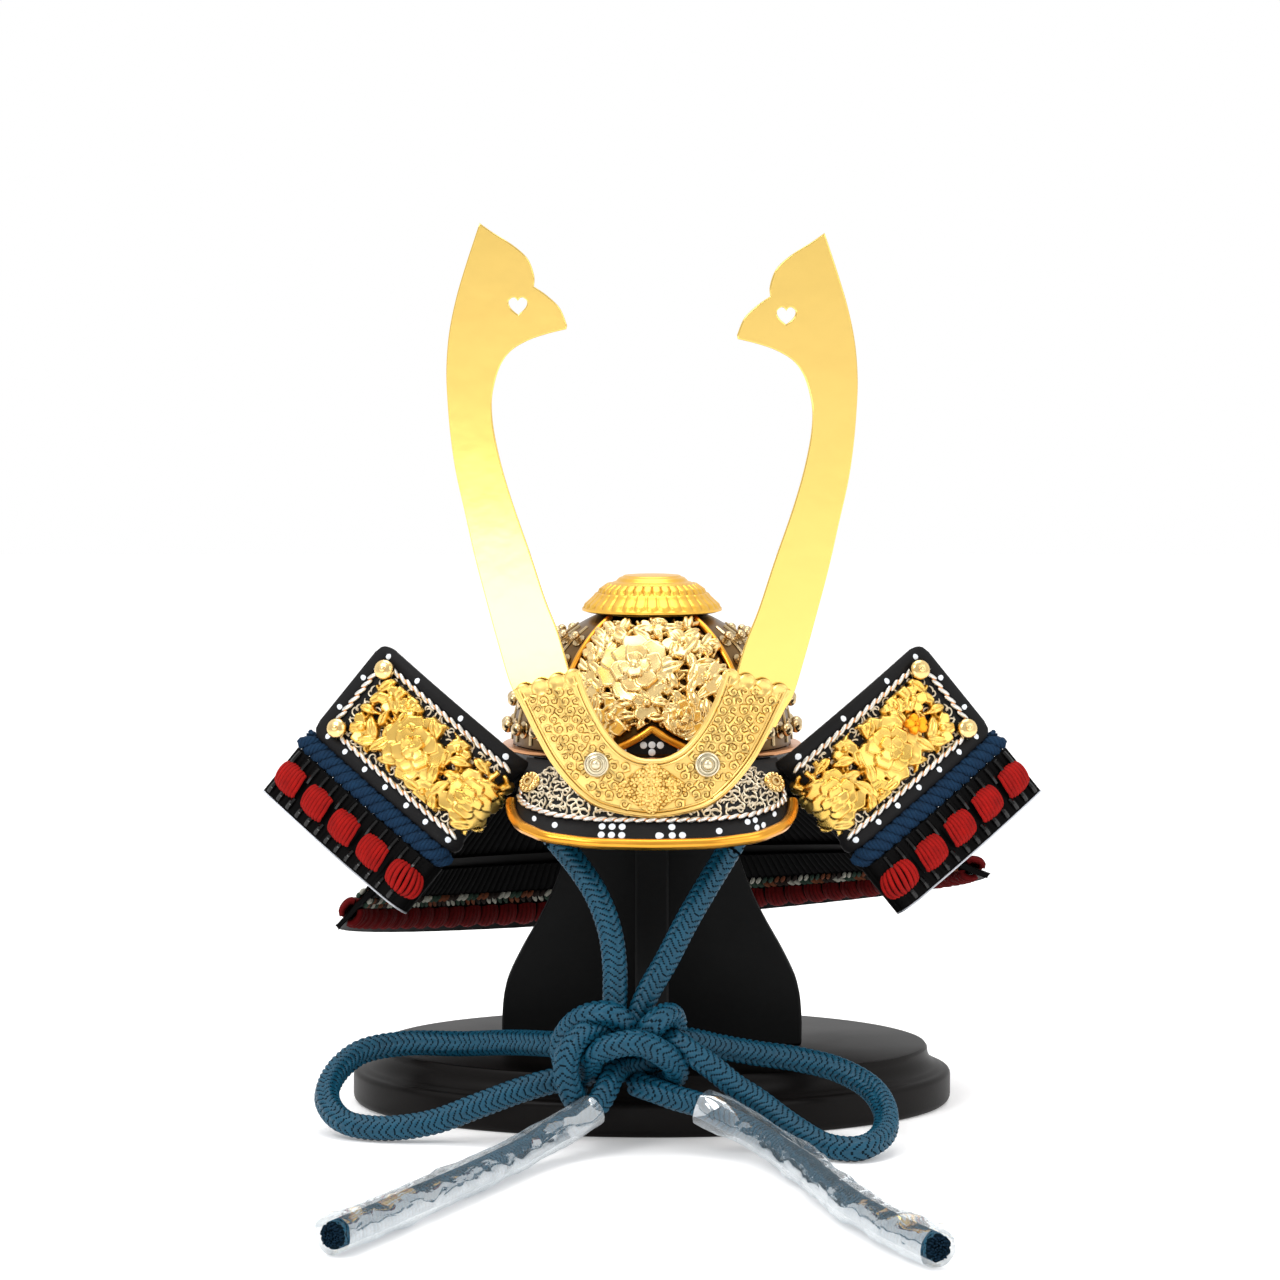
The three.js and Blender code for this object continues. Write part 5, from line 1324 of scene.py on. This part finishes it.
def blade(name, side, drop):
    """Horn blade with its heart hole, stood in the crest base's arm."""
    parts = []
    for key in ("outer", "crown", "beak", "inner"):
        rows, count = BLADE_EDGES[key]
        points = even_spline(np.array(rows) * arr(BLADE_REACH, BLADE_HIGH), np.linspace(0, 1, count))
        parts.append(points[1:] if key in ("crown", "beak") else points)
    foot = [(0.37 * BLADE_REACH - 1, BLADE_FOOT), (0.66 * BLADE_REACH - 3, BLADE_FOOT)]
    outline = np.vstack([foot] + parts)
    hole = heart() + arr(HEART_AT[0] * BLADE_REACH, HEART_AT[1] * BLADE_HIGH)
    v, f = cut_out(outline * arr(side, 1), hole * arr(side, 1), BLADE_WALL, 0.35)
    foot_x = side * BLADE_REACH * 0.53
    yaw = math.atan(foot_x / CREST_BEND)
    x, y, z = v[:, 0] - foot_x, v[:, 1], v[:, 2] + BLADE_WALL / 2
    turn = math.pi / 2 + BLADE_LEAN
    y, z = y * math.cos(turn) - z * math.sin(turn), y * math.sin(turn) + z * math.cos(turn)
    x, y = x * math.cos(yaw) - y * math.sin(yaw), x * math.sin(yaw) + y * math.cos(yaw)
    back = CREST_Y + foot_x**2 / (2 * CREST_BEND)
    place = arr(foot_x, back + BLADE_WALL + 2 * GAP + 0.4, CREST_Z + CREST_HIGH * 0.85 - 2.6 - drop)
    one(name, (np.stack([x, y, z], axis=1) + place, f), BLADE, "pale_gold", [f"crest_{name}"], angle=35)


crest_base()
blade("blade_left", -1, 0.0)
blade("blade_right", 1, 3.0)


# Turned-back plates, made for the +X side and mirrored. ALONG, UP and OFF are their directions
PLATE_LONG, PLATE_HIGH, PLATE_WALL = 52.0, 37.0, 2.0
RISE, SWEEP, BOW = 39 * DEG, 20 * DEG, 2.2
FOLD_R, FOLD_TURN = 7.0, 95 * DEG
FOLD_LONG = FOLD_R * FOLD_TURN
ALONG = arr(math.cos(RISE) * math.cos(SWEEP), math.sin(SWEEP), math.sin(RISE) * math.cos(SWEEP))
UP = arr(-math.sin(RISE), 0, math.cos(RISE))
OFF = unit(np.cross(ALONG, UP))
OFF = -OFF if OFF[1] > 0 else OFF
FLAT_START = arr(63, -46, 87.5) + OFF * FOLD_R + ALONG * FOLD_R
ROPE_R = 3.0
LOWER_TOP = -(2 * ROPE_R + GAP) - GAP
LOWER_LOW = LOWER_TOP - 18.0
MARGIN = 5.0


def strip_point(along, up, off):
    """Point on a turned-back strip: along it from its fold, up it and off its face."""
    along, up, off = np.broadcast_arrays(along, up, off)
    bow = BOW * np.sin(math.pi * np.clip(along / PLATE_LONG, 0, 1))
    flat = ALONG * along[..., None] + OFF * (bow + off)[..., None]
    turn = -along / FOLD_R
    reach = FOLD_R + off
    bent = OFF * (reach * np.cos(turn) - FOLD_R)[..., None] - ALONG * (reach * np.sin(turn))[..., None]
    return FLAT_START + UP * up[..., None] + np.where((along >= 0)[..., None], flat, bent)


NECK_END = 105 * DEG
LAME_WALL = 1.6
NECK_R, NECK_STEP, NECK_Z = 48.5, 19.2, 114.0
NECK_DROPS = [16.0, 12.5, 13.4]
NECK_BACK, NECK_ROLL, NECK_SHIFT = 20.0, 4.6 * DEG, 3.5
NECK_TUCK = LAME_WALL * math.sqrt(2) + 1.5 * GAP
LACE_OFF = 0.5


def lame_point(lame, angle, down, off):
    """Point on a neck guard lame, by angle round from the back and share down it."""
    angle, down, off = np.broadcast_arrays(angle, down, off)
    level = lame + down
    slope = math.hypot(NECK_STEP, NECK_DROPS[lame])
    radius = NECK_R + NECK_STEP * level + off * NECK_DROPS[lame] / slope
    x = radius * np.sin(angle)
    fall = sum(drop * np.clip(level - k, 0, 1) for k, drop in enumerate(NECK_DROPS))
    back = NECK_BACK * (level / 3) ** 2 * np.maximum(np.cos(angle), 0)
    sway = np.maximum(level - 1, 0) * 0.5
    roll = math.tan(NECK_ROLL) * sway * x
    z = NECK_Z - fall - lame * NECK_TUCK + off * NECK_STEP / slope - back + roll
    return np.stack([x + NECK_SHIFT * sway, HELMET_Y + radius * np.cos(angle), z], axis=-1)


def turned_strip(low, high, lame, cols, rows, ripple, corner=0.0):
    """Strip from a lame's front end, round the fold and out along the plate to rounded corners."""
    lead = 0.28  # share of the strip between the lame and the fold
    advance = 1.5 * GAP / (NECK_R + NECK_STEP * lame)

    def place(u, v, face):
        off = (face - 0.5) * PLATE_WALL
        along = lerp(-FOLD_LONG, PLATE_LONG, np.maximum(u - lead, 0) / (1 - lead))
        inset = corner - np.sqrt(np.maximum(corner**2 - np.maximum(along - PLATE_LONG + corner, 0) ** 2, 0))
        up = lerp(low + inset, high - inset, v)
        extra = ripple(along, up) if face else 0
        far = strip_point(along, up, off + extra)
        start = lame_point(lame, NECK_END + advance, lerp(0.92, 0.08, v), off - LAME_WALL / 2)
        share = np.clip(u / lead, 0, 1)[..., None]
        return np.where(share < 1, lerp(start, far, share), far)

    return sheet(cols, rows, place)


def both(name, bag, finishes, slot, node, angle=40, bevel=0.0):
    """The same piece on the right and, mirrored, on the left."""
    for side, half in (("right", bag), ("left", bag.mirrored())):
        replaced = [f"turnback_{node}_{side}"] if node else []
        half.make(f"{name}_{side}", finishes, slot, replaced, angle, bevel)


def yarn_knot(bag, place, a, b, wide, high, bulge, strands, slant):
    """Bundle of yarn wound round a lace: strands that arch up off the surface."""
    t = np.linspace(-1, 1, 10)
    for k in range(strands):
        s = (k - (strands - 1) / 2) / (strands / 2)
        across = a + s * wide / 2 * (0.86 + 0.14 * (1 - t**2)) + slant * high / 2 * t
        lift = bulge * math.sqrt(max(1 - s**2 * 0.8, 0.05)) * np.sqrt(np.maximum(1 - t**2, 0)) ** 0.9
        path = place(across, b + t * high / 2 * (0.82 + 0.18 * (1 - s**2)), lift - 0.1)
        bag.add(tube(path, wide / strands * 0.72, 6))


# Flowers: along, up and size
PLATE_FLOWERS = [
    (20, 18, 10.8), (-2.5, 17, 8.6), (36.5, 25, 4.8), (38, 12, 5.0), (8.5, 27, 4.2), (9, 9.5, 4.4),
    (30, 27, 3.8),
]
PLATE_DOTS = [
    (34, 34.6), (15, 34.6), (-3, 34.6), (49.4, 24), (49.4, 12), (46, 2.5), (38, 2.5), (29, 2.5), (20, 2.5),
    (11, 2.5), (3, 2.5), (-5, 2.6), (47, 34.4),
]
ACCENT_AT = (31.5, 18.5)
# Radius and height of a knob's profile
KNOB = [
    (0, -1.4), (3.2, -1.4), (3.2, 0.2), (2.9, 0.9), (2.0, 1.4), (1.0, 1.6), (0.9, 2.0), (0.4, 2.3), (0, 2.3),
]
LACE_PITCH = 4.35


def turned_back():
    """Each turned-back plate with all that it carries, and the lame and red knots below it."""
    plate = Bag()

    def padded(along, up):
        near = np.minimum(np.minimum(up, PLATE_HIGH - up), PLATE_LONG - along)
        return 0.9 * np.sin(math.pi * np.clip(near / 4.6, 0, 1)) ** 0.7

    plate.add(turned_strip(0, PLATE_HIGH, 0, 110, 38, padded, 4.5))
    both("side_plate", plate, [LEATHER], "leather", "plate", bevel=0.5)

    face = PLATE_WALL / 2
    low, high, end = MARGIN, PLATE_HIGH - MARGIN, PLATE_LONG - MARGIN
    line = np.array([
        (-5, low), (end - 3, low), (end - 0.8, low + 0.8), (end, low + 3), (end, high - 3),
        (end - 0.8, high - 0.8), (end - 3, high), (-5, high),
    ], dtype=float)
    x, y = resample(line, per_mm=0.35).T
    wheat_ear("side_twist", strip_point(x, y, face + 0.8), strip_point(x, y, face + 1.8), "piping", True)

    prints = dots(PLATE_DOTS, lambda a, b, h: strip_point(a, b, face + 0.75 + h), 1.0)
    both("side_dots", prints, [PRINT], "leather", None)

    scrolls = Bag()
    for row in range(7):
        for k in range(14):
            a, b = -4 + k * 3.7 + 1.85 * (row % 2), 7.2 + row * 3.75
            if a > end - 2.2:
                continue
            hand = 1 if (k + row) % 2 else -1
            ground = face + 0.2
            scrolls.lay(spiral(a, b, 1.9, 1.9 * k + row * 2.3, 0.8, hand, 0.3, ground, 12), strip_point)
            t = np.linspace(0, 1, 7)
            x, y = a + 2.4 * t * np.cos(k + t), b + 2.4 * t * np.sin(k + t)
            tendril = np.stack([x, y, np.full(7, ground)], axis=1)
            scrolls.lay(tube(tendril, 0.36 * np.sin(0.4 + 2.5 * t), 5), strip_point)
    both("side_scrolls", scrolls, [THREAD], "silver", None, angle=60)

    def outline(x, y):
        return np.minimum(np.minimum(x + 11.0, end - 2.2 - x), np.minimum(y - low - 1.8, high - 1.8 - y))

    fields = spray_fields(((-10, 45), (7, 31)), outline, PLATE_FLOWERS, 2, 1.7, 8, (0.9, 0.6), 1.6, 1.1)
    spray = Bag()
    relief(spray, fields, ((-13, 47), (4, 34)), 0.3, outline, strip_point, face + 1.0)
    both("side_spray", spray, [WARM], "pale_gold", "openwork", angle=60)

    def round_accent(x, y):
        return 4.2 - np.hypot(x - ACCENT_AT[0], y - ACCENT_AT[1])

    accent = Bag()
    flower = bloom(*ACCENT_AT, 3.6, 0.2, 1.2)
    relief(accent, flower, ((26, 37), (13, 24)), 0.2, round_accent, strip_point, face + 4.2)
    accent.make("side_accent", [AMBER], "pale_gold", angle=60)

    for name, up in (("knob_lower", MARGIN + 1.5), ("knob_upper", PLATE_HIGH - MARGIN - 1.5)):
        knob = Bag()
        spot = strip_point(arr(PLATE_LONG - MARGIN - 2.4), arr(up), arr(face + 4.5 * GAP + 1.6))[0]
        knob.stand(turned(KNOB, 24), spot, OFF)
        both(f"side_{name}", knob, [CAST], "pale_gold", name)

    line = np.linspace(-FOLD_LONG * 0.9, PLATE_LONG, 60)
    step, rope_pitch = 0.5, 11.0
    path = resample(strip_point(line, -ROPE_R - GAP, PLATE_WALL / 2 - ROPE_R * 0.6), per_mm=step)
    rope = Bag()
    turns = np.arange(len(path)) * step / rope_pitch * 2 * math.pi
    _, nor, bin_ = frames(path)
    for k in range(3):
        a = turns + k * 2 * math.pi / 3
        strand = path + 1.9 * (nor * np.cos(a)[:, None] + bin_ * np.sin(a)[:, None])
        # Each strand is a bundle of finer yarns
        for made in twist(strand, 5, 0.85, 1.25, 5.0, 6):
            rope.add(made)
    both("side_rope", rope, [NAVY], "navy_rope", "rope", angle=70)

    def ripple(along, up):
        return 0.45 * np.abs(np.sin(math.pi * along / LACE_PITCH)) ** 0.5 - 0.2

    lame = Bag()
    lame.add(turned_strip(LOWER_LOW, LOWER_TOP, 1, 300, 8, ripple))
    edge = strip_point(line, LOWER_LOW + 0.2, face + 0.35)
    lame.add(tube(resample(edge, per_mm=0.8), 0.32, 6), 1)
    for k in range(-1, 12):
        a = (k + 0.5) * LACE_PITCH
        for top, bottom in ((LOWER_TOP - 0.6, LOWER_TOP - 6.2), (LOWER_LOW + 5.0, LOWER_LOW + 1.4)):
            arch = face + 0.15 + 0.75 * np.sin(np.linspace(0.3, 2.8, 8))
            bar = strip_point(a, np.linspace(top, bottom, 8), arch)
            lame.add(tube(bar, 0.85, 7), 2)
    both("side_lame", lame, [LAME, PALE_EDGE, LACQUER], "lacquer", "lame", angle=35)

    middle = (LOWER_TOP + LOWER_LOW) / 2
    red = Bag()
    for k in range(5):
        a = lerp(-2.5, PLATE_LONG - 5.5, k / 4)
        yarn_knot(red, lambda x, y, h: strip_point(x, y, face + 0.9 + h), a, middle, 9.4, 8.4, 3.2, 8, 0.12)
    both("side_red_knots", red, [RED], "red_yarn", "red_lacing", angle=70)


turned_back()


# Neck guard: three lames, black lacing, a coloured braid and red knots, outside and inside
NECK_ENDS = [NECK_END, NECK_END, NECK_END * 14 / 16]


def neck_angle(lame, u):
    """Angle at a share of the way round a lame."""
    return lerp(-NECK_ENDS[lame], NECK_ENDS[lame], u)


def laced(lame, high, low, thick, strands, within):
    """Close rows of vertical lacing on a lame's outer or inner face."""
    base = -LAME_WALL - LACE_OFF if within else LACE_OFF
    sign = -1 if within else 1

    def place(u, v, face):
        ridge = np.abs(np.sin(math.pi * u * strands)) ** 0.55
        bulge = 0.35 + 0.65 * np.sin(math.pi * np.clip(v, 0.02, 0.98)) ** 0.5
        lift = thick * (0.25 + 0.75 * ridge * bulge)
        outer = face if not within else 1 - face
        return lame_point(lame, neck_angle(lame, u), lerp(high, low, v), base + sign * outer * lift)

    return sheet(strands * 6, 5, place)


FRONT_STOP = NECK_ENDS[2] - 1.2 * DEG
# Radius that turns millimetres along the lowest lame into an angle
ROW_R = 104.0
STITCHES, NECK_KNOTS = 132, 42
# Shares down the lowest lame
BRAID_DOWN, BRAID_ROW, KNOTS_DOWN = 0.478, 0.068, 0.755


def neck_guard():
    """The three lames with their lacing, the braid and the rows of red knots."""
    for lame in range(3):
        top = -0.14 if lame else 0.0

        def plate(u, v, face):
            return lame_point(lame, neck_angle(lame, u), lerp(top, 1, v), (face - 1) * LAME_WALL)

        node = f"neck_lame_{lame + 1}"
        one(f"neck_plate_{lame + 1}", sheet(120, 6, plate), LAME, "lacquer", [node], bevel=0.3)
    # Lame, share down it where the outer lacing starts and ends, and its strands
    spans = ((0, 0.1, 0.86, 74), (1, 0.1, 0.86, 98), (2, 0.1, 0.42, 118))
    for lame, high, low, strands in spans:
        lacing = Bag()
        lacing.add(laced(lame, high, low, 1.0, strands, False))
        lacing.add(laced(lame, 0.02, 0.99 if lame < 2 else 0.43, 0.9, strands, True))
        lacing.make(f"neck_strands_{lame + 1}", [LACE], "black_lace", [f"neck_lacing_{lame + 1}"], angle=60)
    braid, red = Bag(), Bag()
    for within in (False, True):
        sign = -1 if within else 1
        base = -LAME_WALL - LACE_OFF if within else LACE_OFF

        def place(a, b, h):
            return lame_point(2, a / ROW_R, b, base + sign * h)

        for k in range(STITCHES):
            a = lerp(-FRONT_STOP, FRONT_STOP, (k + 0.5) / STITCHES) * ROW_R
            for row, lean in ((0, 0.75), (1, -0.75)):
                v, f = ball(1.0, 7, 5)
                x = v[:, 0] * 1.75 * math.cos(lean) - v[:, 1] * 0.8 * math.sin(lean)
                y = v[:, 0] * 1.75 * math.sin(lean) + v[:, 1] * 0.8 * math.cos(lean)
                down = BRAID_DOWN + BRAID_ROW * row - y / 27.0
                braid.add((place(a + x, down, v[:, 2] * 0.85 + 0.75), f), ((k + row * 2) // 2) % 4)
        for k in range(NECK_KNOTS):
            a = lerp(-FRONT_STOP, FRONT_STOP, (k + 0.5) / NECK_KNOTS) * ROW_R
            yarn_knot(red, lambda x, y, h: place(x, y, h + 0.35), a, KNOTS_DOWN, 7.0, 0.25, 2.2, 5, 0.0)
    braid.make("neck_braid_stitches", BRAID, "braid_yarn", ["neck_braid"], angle=60)
    # Painted shade: the neck's red knots take the darkened copy of the red yarn
    red.make("neck_red_knots", [RED_PAINTED_SHADE], "red_yarn", ["neck_red_lacing"], angle=70)


neck_guard()


# Floor and light
FLOOR_GLOW = 0.22
floor_mesh = bpy.data.meshes.new("floor")
floor_mesh.from_pydata([(-4, -6, 0), (4, -6, 0), (4, 3, 0), (-4, 3, 0)], [], [(0, 1, 2, 3)])
floor = bpy.data.objects.new("floor", floor_mesh)
scene.collection.objects.link(floor)
floor_mesh.materials.append(material("white_ground", "fbfafa", "f7f6f6", rough=0.8, patch=333, specular=0.1))
glow = floor_mesh.materials[0].node_tree.nodes["Principled BSDF"].inputs
glow["Emission Color"].default_value = (1, 1, 1, 1)
glow["Emission Strength"].default_value = FLOOR_GLOW


def area_light(name, place, target, size, power):
    """Rectangular white light that looks at a target."""
    data = bpy.data.lights.new(name, "AREA")
    data.shape = "RECTANGLE"
    data.size, data.size_y = size
    data.energy = power
    lamp = bpy.data.objects.new(name, data)
    lamp.location = place
    aim = np.array(target) - np.array(place)
    pitch = math.atan2(-aim[2], math.hypot(aim[0], aim[1]))
    lamp.rotation_euler = (math.pi / 2 - pitch, 0, math.atan2(-aim[0], aim[1]))
    scene.collection.objects.link(lamp)


# White surroundings, a little darker behind the camera
world = bpy.data.worlds.new("studio")
world.use_nodes = True
sky = world.node_tree
heading = add(sky, "ShaderNodeTexCoord").outputs["Generated"]
across = add(sky, "ShaderNodeSeparateXYZ", {0: heading}).outputs["Y"]
level = add(sky, "ShaderNodeMapRange", {
    "Value": across, "From Min": -1.0, "From Max": 0.2, "To Min": 0.6, "To Max": 1.0,
})
sky.links.new(level.outputs["Result"], sky.nodes["Background"].inputs["Strength"])
sky.nodes["Background"].inputs["Color"].default_value = (1, 1, 1, 1)
scene.world = world
# Place, target, size in metres and power in watts. The card lights the foot of one blade
area_light("key", (-0.7, -0.9, 1.1), (0, 0, 0.12), (0.6, 0.6), 8)
area_light("fill", (0.9, -0.9, 0.7), (0, 0, 0.12), (0.8, 0.8), 4)
area_light("top", (0, 0.1, 1.3), (0, 0, 0.1), (0.9, 0.9), 7)
area_light("card", (-0.235, -0.75, 0.035), (-0.045, -0.075, 0.16), (0.16, 0.08), 0.2)
scene.view_settings.view_transform = "Standard"
